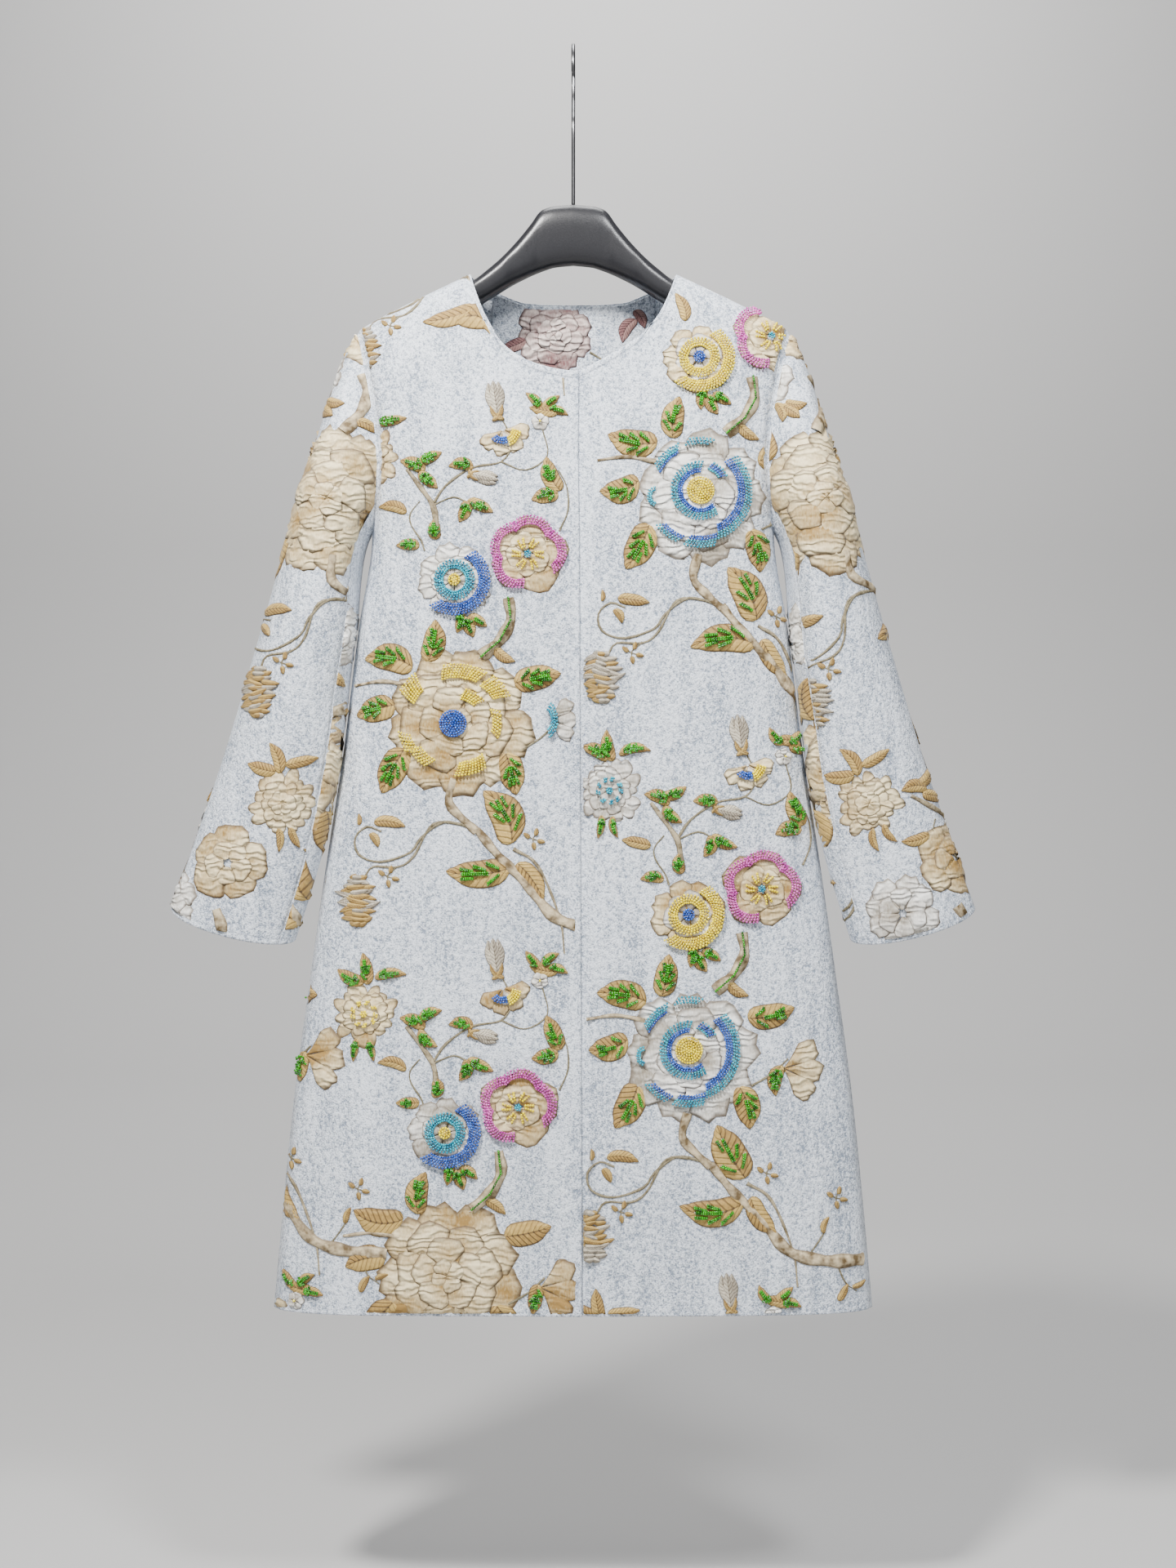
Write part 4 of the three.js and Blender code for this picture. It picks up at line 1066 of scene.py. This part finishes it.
class Shader:
    """A material with one principled shader, whose other nodes all come from node()."""

    def __init__(self, name, **constants):
        self.material = bpy.data.materials.new(name)
        self.material.use_nodes = True
        self.tree = self.material.node_tree
        self.tree.nodes.clear()
        self.principled = self.tree.nodes.new("ShaderNodeBsdfPrincipled")
        output = self.tree.nodes.new("ShaderNodeOutputMaterial")
        self.tree.links.new(self.principled.outputs[0], output.inputs["Surface"])
        for key, value in constants.items():
            self.principled.inputs[key.replace("_", " ")].default_value = value

    def node(self, kind, settings, *values, output=0, named=None):
        """One node: its settings, its first inputs in order, and its named inputs."""
        made = self.tree.nodes.new(kind)
        for key, value in settings.items():
            setattr(made, key, value)
        pairs = list(zip(made.inputs, values))
        pairs += [(made.inputs[key], value) for key, value in (named or {}).items()]
        for socket, value in pairs:
            if isinstance(value, Wire):
                self.tree.links.new(value.socket, socket)
            elif value is not None:
                socket.default_value = value
        return Wire(self, made.outputs[output])

    def place(self, scale=(1, 1, 1)):
        """Object coordinates, stretched."""
        where = self.node("ShaderNodeTexCoord", {}, output="Object")
        return self.node("ShaderNodeVectorMath", {"operation": "MULTIPLY"}, where, scale)

    def noise(self, scale, detail=2.0, stretch=(1, 1, 1)):
        values = {"Vector": self.place(stretch), "Scale": scale, "Detail": detail}
        return self.node("ShaderNodeTexNoise", {}, named=values, output="Fac")

    def value(self, name):
        return self.node("ShaderNodeAttribute", {"attribute_name": name}, output="Fac")

    def mix(self, share, first, second):
        made = self.tree.nodes.new("ShaderNodeMix")
        made.data_type = "RGBA"
        for socket, value in ((made.inputs[0], share), (made.inputs[6], first), (made.inputs[7], second)):
            if isinstance(value, Wire):
                self.tree.links.new(value.socket, socket)
            else:
                socket.default_value = (*value, 1) if hasattr(value, "__len__") else value
        return Wire(self, made.outputs[2])

    def set(self, **wires):
        for key, wire in wires.items():
            self.tree.links.new(wire.socket, self.principled.inputs[key.replace("_", " ")])

    def bump(self, height, distance, strength=1.0):
        values = {"Height": height, "Distance": distance, "Strength": strength}
        self.set(Normal=self.node("ShaderNodeBump", {}, named=values, output="Normal"))


def cloth_material():
    """Pale silver-blue jacquard with a mottled weave and a soft satin sheen."""
    shader = Shader("Mottled jacquard", Sheen_Weight=0.15, Sheen_Roughness=0.4, Specular_IOR_Level=0.4)
    speckle = shader.noise(820, 2.0)
    blotch = shader.noise(360, 2.0, (1, 1, 0.8))
    streak = shader.noise(42, 3.0, (1.6, 1.6, 0.35))
    share = (speckle - 0.5) * 3.0 + (blotch - 0.5) * 2.4 + (streak - 0.5) * 1.3 + 0.62
    colour = shader.mix(share.step(0, 1), (0.23, 0.275, 0.35), (0.77, 0.82, 0.89))
    # Painted shade: a dark line about 6 mm in from the neckline and from each cuff, where the groove behind
    # the turned edge lies.
    neck_groove_shade = 1 - (abs(shader.value("edge") - 5.7)).step(0.2, 0.9)
    shader.set(Base_Color=shader.mix(neck_groove_shade * 0.5, colour, (0.2, 0.23, 0.29)))
    shader.set(Roughness=0.44 + speckle * 0.2)
    shader.bump(speckle + blotch * 1.4 + streak * 3, 0.0009, 0.9)
    return shader.material


def relief_material(name, deep, mid, light, line):
    """Raised jacquard: soft level puckers on petals, with painted shade in their troughs; a midrib, hatching
    and an outline on leaves.
    """
    shader = Shader(name, Sheen_Weight=0.1, Specular_IOR_Level=0.35)
    edge, along, across = shader.value("edge"), shader.value("along"), shader.value("across")
    tone, leafy = shader.value("tone"), shader.value("vein")
    height = shader.node("ShaderNodeSeparateXYZ", {}, shader.place(), output="Z")
    drift = shader.noise(70, 2.0, (0.6, 0.6, 1))
    patch = shader.noise(34, 2.0, (0.7, 0.7, 1))
    fine = shader.noise(600, 2.0, (1, 1, 0.5))
    pucker = ((height * 950) + drift * 24 + tone * 40).sine() * 0.5 + 0.5
    strength = patch.step(0.38, 0.6) * 0.75 + 0.25
    # Petal colour: darker towards each petal's base, random woven tone, and painted shade in the troughs of
    # the puckers (the pucker term).
    shade = along * 0.65 + (patch - 0.5) * 2.4 + pucker * strength * 0.26 + (fine - 0.5) * 0.9 + tone * 0.3
    petals = shader.mix(shade.step(0.15, 1.15), deep, light)
    midrib = 1 - abs(across).step(0.03, 0.1)
    side = 1 - abs((along * 9 - abs(across) * 1.6).fraction() - 0.5).step(0.06, 0.2)
    half = across.step(-0.08, 0.08)
    leaf = shader.mix((fine - 0.5) * 1.4 + 0.75 - half * 0.5 + tone * 0.5 - along * 0.3, deep, mid)
    leaf = shader.mix((midrib * 0.75 + side * (half * 0.4 + 0.3)).step(0, 1), leaf, line)
    colour = shader.mix(leafy, petals, leaf)
    rim = 1 - edge.step(0.06, 0.19)
    shader.set(Base_Color=shader.mix(rim * 0.85, colour, line))
    shader.set(Roughness=0.55 + fine * 0.2)
    ridges = pucker * strength * (1 - leafy * 0.8) + patch * 0.8 + fine * 0.16 - side * leafy * 0.25
    shader.bump(ridges, 0.0017, 0.9)
    return shader.material


def stem_material():
    shader = Shader("Woven stems", Specular_IOR_Level=0.3)
    tone, edge = shader.value("tone"), shader.value("edge")
    fine = shader.noise(520, 2.0)
    knots = shader.noise(130, 2.0)
    thin = shader.mix((fine - 0.5) * 1.6 + 0.4, (0.075, 0.06, 0.03), (0.34, 0.30, 0.19))
    thick = shader.mix((knots - 0.5) * 3.2 + 0.5, (0.12, 0.08, 0.035), (0.62, 0.51, 0.33))
    # Painted shade: each stem darkens towards its rounded sides and keeps a lighter middle; this also draws
    # its dark outline.
    rim = 1 - edge.step(0.12, 0.4)
    colour = shader.mix(tone.step(0.05, 0.4), thin, thick)
    shader.set(Base_Color=shader.mix(rim * 0.7, colour, (0.12, 0.085, 0.05)))
    shader.set(Roughness=0.6 + fine * 0.2)
    shader.bump(knots + fine * 0.4, 0.0012, 0.9)
    return shader.material


BEAD_COLOURS = {
    "yellow": ((0.66, 0.48, 0.0), (1.0, 0.82, 0.0)),
    "blue": ((0.01, 0.045, 0.27), (0.04, 0.15, 0.60)),
    "turquoise": ((0.0, 0.16, 0.27), (0.01, 0.42, 0.54)),
    "pink": ((0.34, 0.02, 0.24), (0.72, 0.13, 0.5)),
    "green": ((0.006, 0.075, 0.0), (0.04, 0.34, 0.005)),
}


def bead_material(colour):
    dark, light = BEAD_COLOURS[colour]
    shader = Shader("Glass beads " + colour, Roughness=0.2, Coat_Weight=0.2, IOR=1.48)
    shader.set(Base_Color=shader.mix(shader.noise(260, 1.0).step(0.35, 0.65), dark, light))
    return shader.material


def plain_material(name, colour, **constants):
    shader = Shader(name, **constants)
    shader.principled.inputs["Base Color"].default_value = (*colour, 1)
    return shader.material


def hanger_material():
    shader = Shader("Black moulded plastic", Specular_IOR_Level=0.4)
    grain = shader.noise(900, 2.0)
    shader.set(Base_Color=shader.mix(grain, (0.010, 0.010, 0.012), (0.018, 0.018, 0.021)))
    shader.set(Roughness=0.24 + grain * 0.14)
    shader.bump(grain, 0.0001, 0.5)
    return shader.material


def node_tree(name, inputs):
    """An empty Geometry Nodes tree with a geometry input, named inputs and a geometry output."""
    tree = bpy.data.node_groups.new(name, "GeometryNodeTree")
    tree.interface.new_socket("Geometry", in_out="INPUT", socket_type="NodeSocketGeometry")
    for key, kind, value in inputs:
        socket = tree.interface.new_socket(key, in_out="INPUT", socket_type=kind)
        if value is not None:
            socket.default_value = value
    tree.interface.new_socket("Geometry", in_out="OUTPUT", socket_type="NodeSocketGeometry")
    return tree, tree.nodes.new("NodeGroupInput"), tree.nodes.new("NodeGroupOutput")


def tree_end(tree, last, given, out):
    """Realizes a tree's instances, gives them the material and leads them out."""
    realize = tree.nodes.new("GeometryNodeRealizeInstances")
    paint = tree.nodes.new("GeometryNodeSetMaterial")
    tree.links.new(last, realize.inputs["Geometry"])
    tree.links.new(realize.outputs["Geometry"], paint.inputs["Geometry"])
    tree.links.new(given.outputs["Material"], paint.inputs["Material"])
    tree.links.new(paint.outputs["Geometry"], out.inputs["Geometry"])


def bead_tree():
    """A small sphere on every point, each a little different in size."""
    tree, given, out = node_tree("Beads on points", [
        ("Radius", "NodeSocketFloat", 0.001), ("Smallest", "NodeSocketFloat", 0.9),
        ("Largest", "NodeSocketFloat", 1.1), ("Seed", "NodeSocketInt", 5),
        ("Material", "NodeSocketMaterial", None),
    ])
    points = tree.nodes.new("GeometryNodeMeshToPoints")
    sphere = tree.nodes.new("GeometryNodeMeshUVSphere")
    sphere.inputs["Segments"].default_value = 6
    sphere.inputs["Rings"].default_value = 4
    smooth = tree.nodes.new("GeometryNodeSetShadeSmooth")
    spread = tree.nodes.new("FunctionNodeRandomValue")
    spread.data_type = "FLOAT"
    put = tree.nodes.new("GeometryNodeInstanceOnPoints")
    floats = [socket for socket in spread.inputs if socket.type == "VALUE"]
    link = tree.links.new
    link(given.outputs["Geometry"], points.inputs["Mesh"])
    link(given.outputs["Radius"], sphere.inputs["Radius"])
    link(given.outputs["Smallest"], floats[0])
    link(given.outputs["Largest"], floats[1])
    link(given.outputs["Seed"], spread.inputs["Seed"])
    link(points.outputs["Points"], put.inputs["Points"])
    link(sphere.outputs["Mesh"], smooth.inputs["Geometry"])
    link(smooth.outputs["Geometry"], put.inputs["Instance"])
    link([socket for socket in spread.outputs if socket.type == "VALUE"][0], put.inputs["Scale"])
    tree_end(tree, put.outputs["Instances"], given, out)
    return tree


def thread_tree():
    """A thin round thread along every chain of edges."""
    tree, given, out = node_tree("Threads on edges", [
        ("Radius", "NodeSocketFloat", 0.0002), ("Material", "NodeSocketMaterial", None),
    ])
    curve = tree.nodes.new("GeometryNodeMeshToCurve")
    circle = tree.nodes.new("GeometryNodeCurvePrimitiveCircle")
    circle.inputs["Resolution"].default_value = 4
    sweep = tree.nodes.new("GeometryNodeCurveToMesh")
    sweep.inputs["Fill Caps"].default_value = True
    tree.links.new(given.outputs["Geometry"], curve.inputs["Mesh"])
    tree.links.new(given.outputs["Radius"], circle.inputs["Radius"])
    tree.links.new(curve.outputs["Curve"], sweep.inputs["Curve"])
    tree.links.new(circle.outputs["Curve"], sweep.inputs["Profile Curve"])
    tree_end(tree, sweep.outputs["Mesh"], given, out)
    return tree


def grown(name, vertices, edges, tree, values):
    """A plain mesh object made by running a node tree on points or edges."""
    mesh = bpy.data.meshes.new(name + "_source")
    mesh.from_pydata((np.asarray(vertices) * METRES).tolist(), edges, [])
    obj = bpy.data.objects.new(name, mesh)
    bpy.context.scene.collection.objects.link(obj)
    modifier = obj.modifiers.new("Build", "NODES")
    modifier.node_group = tree
    for item in tree.interface.items_tree:
        if item.in_out == "INPUT" and item.name in values:
            modifier[item.identifier] = values[item.name]
    graph = bpy.context.evaluated_depsgraph_get()
    graph.update()
    made = bpy.data.meshes.new_from_object(obj.evaluated_get(graph))
    obj.modifiers.clear()
    obj.data = made
    bpy.data.meshes.remove(mesh)
    if not made.polygons:
        raise RuntimeError(name + " came out empty")
    return obj


def make_hanger(name):
    """The contoured hanger: rounded sections from one arm's tip to the other's."""
    last = HANGER["out"][-1]
    outs = [np.linspace(0, 44, 34), np.linspace(45, 150, 46), np.linspace(151, last, 14)]
    outs = np.concatenate(outs)
    x = np.concatenate([-outs[::-1], outs[1:]])
    value = {key: read(np.abs(x)) for key, read in hanger_row.items()}
    turn = np.linspace(0, 2 * math.pi, 48, endpoint=False)
    power = 2 / 2.7
    round_y = np.sign(np.cos(turn)) * np.abs(np.cos(turn)) ** power
    round_z = np.sign(np.sin(turn)) * np.abs(np.sin(turn)) ** power
    mould_line = 1 - 0.035 * np.exp(-((np.cos(turn) / 0.03) ** 2))
    y = value["half"][:, None] * round_y[None]
    middle, rise = (value["top"] + value["bottom"]) / 2, (value["bottom"] - value["top"]) / 2
    z = -HOOK_TO_NECK - middle[:, None] + rise[:, None] * (round_z * mould_line)[None]
    ring = np.stack([np.broadcast_to(x[:, None], y.shape), y, z], axis=-1)
    # The rounding of each tip: the section's size, and how far out it lies.
    rounding = ((0.9, 1.0), (0.6, 2.2), (0.02, 2.8))
    ends = []
    for end, way in ((ring[0], -1), (ring[-1], 1)):
        centre = end.mean(axis=0)
        ends.append([centre + (end - centre) * size + np.array([way * out, 0, 0]) for size, out in rounding])
    rings = np.array(ends[0][::-1] + list(ring) + ends[1])
    rows, sides = rings.shape[:2]
    faces = grid_faces(rows, sides + 1)
    row, column = faces // (sides + 1), faces % (sides + 1)
    vertices = rings.reshape(-1, 3)
    return new_object(name, vertices, outward(vertices, row * sides + column % sides))


def make_hook(name):
    """The steel hook: a stem, a bend to the loop's side and the loop, in the plane x = 0."""
    loop, wire, sides = 21.6, 1.6, 16
    foot = -HOOK_TO_NECK - HANGER["top"][0] + 0.1
    knots = [(0, foot - 3), (0, (foot - 66) / 2), (0, -66), (loop * 0.35, -52), (loop * 0.84, -36)]
    for turn in range(0, 206, 15):
        knots.append((loop * math.cos(math.radians(turn)), loop * math.sin(math.radians(turn)) - 20))
    path = curve_through(np.array(knots, dtype=float), lambda start, end: 8)
    way = unit(np.gradient(path, axis=0))
    size = np.ones(len(path))
    tip = path[-1] + way[-1] * np.array([[0.8], [1.4]])
    path, way = np.concatenate([path, tip]), np.concatenate([way, way[-1:], way[-1:]])
    size = np.concatenate([size, [0.85, 0.3]])
    side = np.stack([np.zeros(len(way)), -way[:, 1], way[:, 0]], axis=1)
    centre = np.stack([np.zeros(len(path)), path[:, 0], path[:, 1]], axis=1)
    turn = np.linspace(0, 2 * math.pi, sides, endpoint=False)
    ring = centre[:, None] + wire * size[:, None, None] * (
        np.cos(turn)[None, :, None] * np.array([1.0, 0, 0]) + np.sin(turn)[None, :, None] * side[:, None]
    )
    rows = len(path)
    faces = grid_faces(rows, sides + 1)
    faces = faces // (sides + 1) * sides + faces % (sides + 1) % sides
    vertices = np.concatenate([ring.reshape(-1, 3), centre[:1], centre[-1:]])
    base, top, last = rows * sides, rows * sides + 1, (rows - 1) * sides
    caps = [(base, (k + 1) % sides, k, k) for k in range(sides)]
    for k in range(sides):
        after = last + (k + 1) % sides
        caps.append((top, last + k, after, after))
    faces = outward(vertices, np.concatenate([faces, np.array(caps)]))
    mesh = bpy.data.meshes.new(name)
    corners = [list(dict.fromkeys(face)) for face in faces.tolist()]
    mesh.from_pydata((vertices * METRES).tolist(), [], corners)
    mesh.shade_smooth()
    obj = bpy.data.objects.new(name, mesh)
    bpy.context.scene.collection.objects.link(obj)
    return obj


class CoatSettings(bpy.types.PropertyGroup):
    """What may be changed about the coat and its stage."""

    bead: bpy.props.FloatProperty(
        name="Bead radius", description="Radius of a seed bead", default=0.00112, unit="LENGTH")
    thread: bpy.props.FloatProperty(
        name="Thread radius", description="Radius of the thread that the beads are on",
        default=0.00024, unit="LENGTH")
    seed: bpy.props.IntProperty(name="Seed", description="Seed of the small differences", default=11)
    drop: bpy.props.FloatProperty(
        name="Floor", description="Height of the floor below the hook", default=-1.32, unit="LENGTH")
    power: bpy.props.FloatProperty(
        name="Key light", description="Power of the key light in watts", default=92.0, min=0)


# Relief colours: the deepest, the leaves' own, the palest and the outline's.
TAN = [(0.32, 0.19, 0.05), (0.56, 0.38, 0.11), (0.82, 0.69, 0.42), (0.075, 0.042, 0.018)]
CREAM = [(0.30, 0.26, 0.20), (0.62, 0.56, 0.44), (0.90, 0.885, 0.84), (0.12, 0.09, 0.06)]
MAUVE = [(0.20, 0.085, 0.085), (0.42, 0.25, 0.22), (0.72, 0.62, 0.56), (0.045, 0.016, 0.02)]

# Cloth pieces by node: maker, its arguments, flat width and length (metres) and flat area
# (square metres) of what shows.
CLOTH = {
    "front_right": (make_front_right, (), (0.30, 0.875), 0.199),
    "front_left": (make_front_left, (), (0.335, 0.875), 0.217),
    "back": (make_back, (), (0.62, 0.875), 0.443),
    "back_neck_facing": (make_facing, (), (0.145, 0.08), 0.0094),
    "sleeve_upper_right": (make_sleeve, (-1, *UPPER), (0.26, 0.56), 0.082),
    "sleeve_upper_left": (make_sleeve, (1, *UPPER), (0.26, 0.56), 0.082),
    "sleeve_under_right": (make_sleeve, (-1, *UNDER), (0.13, 0.42), 0.030),
    "sleeve_under_left": (make_sleeve, (1, *UNDER), (0.13, 0.42), 0.030),
}


def finish_piece(obj, material, slot):
    """Paints a piece and lets it hang with the coat."""
    obj.data.materials.clear()
    obj.data.materials.append(material)
    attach(obj, "root")
    return obj


class COAT_OT_hanger(bpy.types.Operator):
    """Builds the hanger and its hook"""

    bl_idname = "coat.hanger"
    bl_label = "Hanger"

    def execute(self, context):
        hanger = finish_piece(make_hanger("hanger_plastic"), hanger_material(), "hanger")
        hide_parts("hanger_body")
        steel = plain_material("Darkened steel", (0.14, 0.14, 0.145), Metallic=1.0, Roughness=0.3)
        hook = finish_piece(make_hook("hook_steel"), steel, "hook")
        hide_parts("hanger_hook")
        return {"FINISHED"}


class COAT_OT_cloth(bpy.types.Operator):
    """Builds the cloth of every panel and sleeve piece"""

    bl_idname = "coat.cloth"
    bl_label = "Cloth"

    def execute(self, context):
        material = cloth_material()
        for node, (make, arguments, *_) in CLOTH.items():
            piece = finish_piece(make(node + "_cloth", *arguments), material, "cloth")
            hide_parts(node)
        return {"FINISHED"}


def bead_pieces(node, drawn, settings, tree, glass):
    """One object for each colour of bead on a piece of cloth."""
    made = []
    for colour in BEAD_COLOURS:
        points = [point for figures in drawn for point in figures.beads.get(colour, [])]
        if points:
            values = {"Radius": settings.bead, "Seed": settings.seed, "Material": glass[colour]}
            piece = grown(colour + "_beads_on_" + node, points, [], tree, values)
            made.append(finish_piece(piece, glass[colour], "beads"))
    return made


def thread_pieces(node, drawn, settings, tree, material):
    """The threads on a piece of cloth, as one object if there are any."""
    lines = [line for figures in drawn for line in figures.threads]
    if not lines:
        return []
    edges, start = [], 0
    for line in lines:
        edges += [(start + k, start + k + 1) for k in range(len(line) - 1)]
        start += len(line)
    values = {"Radius": settings.thread, "Material": material}
    piece = grown("thread_on_" + node, np.concatenate(lines), edges, tree, values)
    return [finish_piece(piece, material, "thread")]


class COAT_OT_figures(bpy.types.Operator):
    """Raises the woven flowers and leaves, and sews on the beads"""

    bl_idname = "coat.figures"
    bl_label = "Flowers and beads"

    def execute(self, context):
        settings = context.scene.coat
        woven = {
            "tan": ("tan_relief", relief_material("Gold-tan relief", *TAN)),
            "cream": ("cream_relief", relief_material("Cream relief", *CREAM)),
            "stems": ("stems", stem_material()),
        }
        inside = relief_material("Mauve relief", *MAUVE)
        beads, threads = bead_tree(), thread_tree()
        glass = {colour: bead_material(colour) for colour in BEAD_COLOURS}
        thread = plain_material("Thread", (0.65, 0.70, 0.76), Roughness=0.5)
        for node, (_, _, flat, area) in CLOTH.items():
            draw, arguments, more_seed = DRAWN[node]
            drawn = draw(*arguments, settings.seed + more_seed)
            pieces = []
            for kind, (slot, material) in woven.items():
                if "facing" in node and kind != "stems":
                    material = inside
                parts = [part for figures in drawn for part in figures.patches[kind]]
                if parts:
                    pieces.append(finish_piece(joined(kind + "_on_" + node, parts), material, slot))
            pieces += bead_pieces(node, drawn, settings, beads, glass)
            pieces += thread_pieces(node, drawn, settings, threads, thread)
            above = ["back_cloth"] if "sleeve" in node else ["hanger_plastic"]
            cloth = bpy.data.objects[node + "_cloth"]
        return {"FINISHED"}


# Lights: name, place, what it is aimed at (metres), size, share of the key's power, colour.
COAT_MIDDLE, WALL_MIDDLE = (0.0, 0.0, -0.62), (0.0, 5.0, -0.3)
LIGHTS = [
    ("key", (-0.62, -1.3, 0.95), COAT_MIDDLE, 0.28, 1.0, (1.0, 0.985, 0.96)),
    ("second", (0.62, -1.35, 0.85), COAT_MIDDLE, 0.4, 0.42, (0.97, 0.985, 1.0)),
    ("fill", (0.0, -2.6, -0.6), COAT_MIDDLE, 2.2, 0.14, (1.0, 1.0, 1.0)),
    ("above", (0.0, 0.15, 0.85), COAT_MIDDLE, 0.7, 0.2, (1.0, 1.0, 1.0)),
    ("backdrop", (0.0, 2.9, 2.6), WALL_MIDDLE, 2.5, 2.2, (1.0, 1.0, 1.0)),
]


class COAT_OT_stage(bpy.types.Operator):
    """Builds the floor, the lights and the camera"""

    bl_idname = "coat.stage"
    bl_label = "Stage"

    def execute(self, context):
        settings = context.scene.coat
        link = context.scene.collection.objects.link
        floor, back, radius = settings.drop * 1000, 5000, 1400
        bend = np.radians(np.linspace(0, 90, 16))
        curve = [(back - radius + radius * math.sin(a), floor + radius - radius * math.cos(a)) for a in bend]
        profile = np.array([(-6000, floor), (0, floor)] + curve + [(back, 5000)])
        x = np.linspace(-11000, 11000, 3)
        points = np.array([[(a, y, z) for a in x] for y, z in profile])
        sweep = new_object("floor", points.reshape(-1, 3), grid_faces(*points.shape[:2])[:, ::-1])
        sweep.data.materials.append(plain_material("Pale floor", (0.47, 0.465, 0.46), Roughness=0.8))
        for name, where, target, size, share, colour in LIGHTS:
            light = bpy.data.lights.new(name, "AREA")
            light.shape, light.size, light.color = "DISK", size, colour
            light.energy = settings.power * share
            lamp = bpy.data.objects.new(name, light)
            lamp.location = where
            lamp.rotation_mode = "QUATERNION"
            lamp.rotation_quaternion = (Vector(target) - Vector(where)).to_track_quat("-Z", "Y")
            link(lamp)
        world = bpy.data.worlds.new("Studio")
        world.use_nodes = True
        sky = world.node_tree.nodes["Background"].inputs
        sky["Color"].default_value = (0.8, 0.83, 0.88, 1)
        sky["Strength"].default_value = 0.18
        context.scene.world = world
        lens = bpy.data.cameras.new("camera")
        lens.sensor_fit, lens.sensor_height, lens.lens = "VERTICAL", 36, 54.35
        camera = bpy.data.objects.new("camera", lens)
        camera.location = (0.0124, -2.0, -0.6217)
        camera.rotation_euler = (math.pi / 2, 0, 0)
        link(camera)
        context.scene.camera = camera
        return {"FINISHED"}


class COAT_PT_panel(bpy.types.Panel):
    """Buttons for the coat in the 3D view's sidebar"""

    bl_idname = "COAT_PT_panel"
    bl_label = "Coat"
    bl_space_type = "VIEW_3D"
    bl_region_type = "UI"
    bl_category = "Coat"

    def draw(self, context):
        for name in ("bead", "thread", "seed", "drop", "power"):
            self.layout.prop(context.scene.coat, name)
        for name in STEPS:
            self.layout.operator("coat." + name)


STEPS = ("hanger", "cloth", "figures", "stage")
CLASSES = (CoatSettings, COAT_OT_hanger, COAT_OT_cloth, COAT_OT_figures, COAT_OT_stage, COAT_PT_panel)


def register():
    for made in CLASSES:
        bpy.utils.register_class(made)
    bpy.types.Scene.coat = bpy.props.PointerProperty(type=CoatSettings)


def unregister():
    del bpy.types.Scene.coat
    for made in reversed(CLASSES):
        bpy.utils.unregister_class(made)


def main():
    register()
    for name in STEPS:
        if getattr(bpy.ops.coat, name)() != {"FINISHED"}:
            raise RuntimeError(name + " didn't finish")


if __name__ == "__main__":
    main()
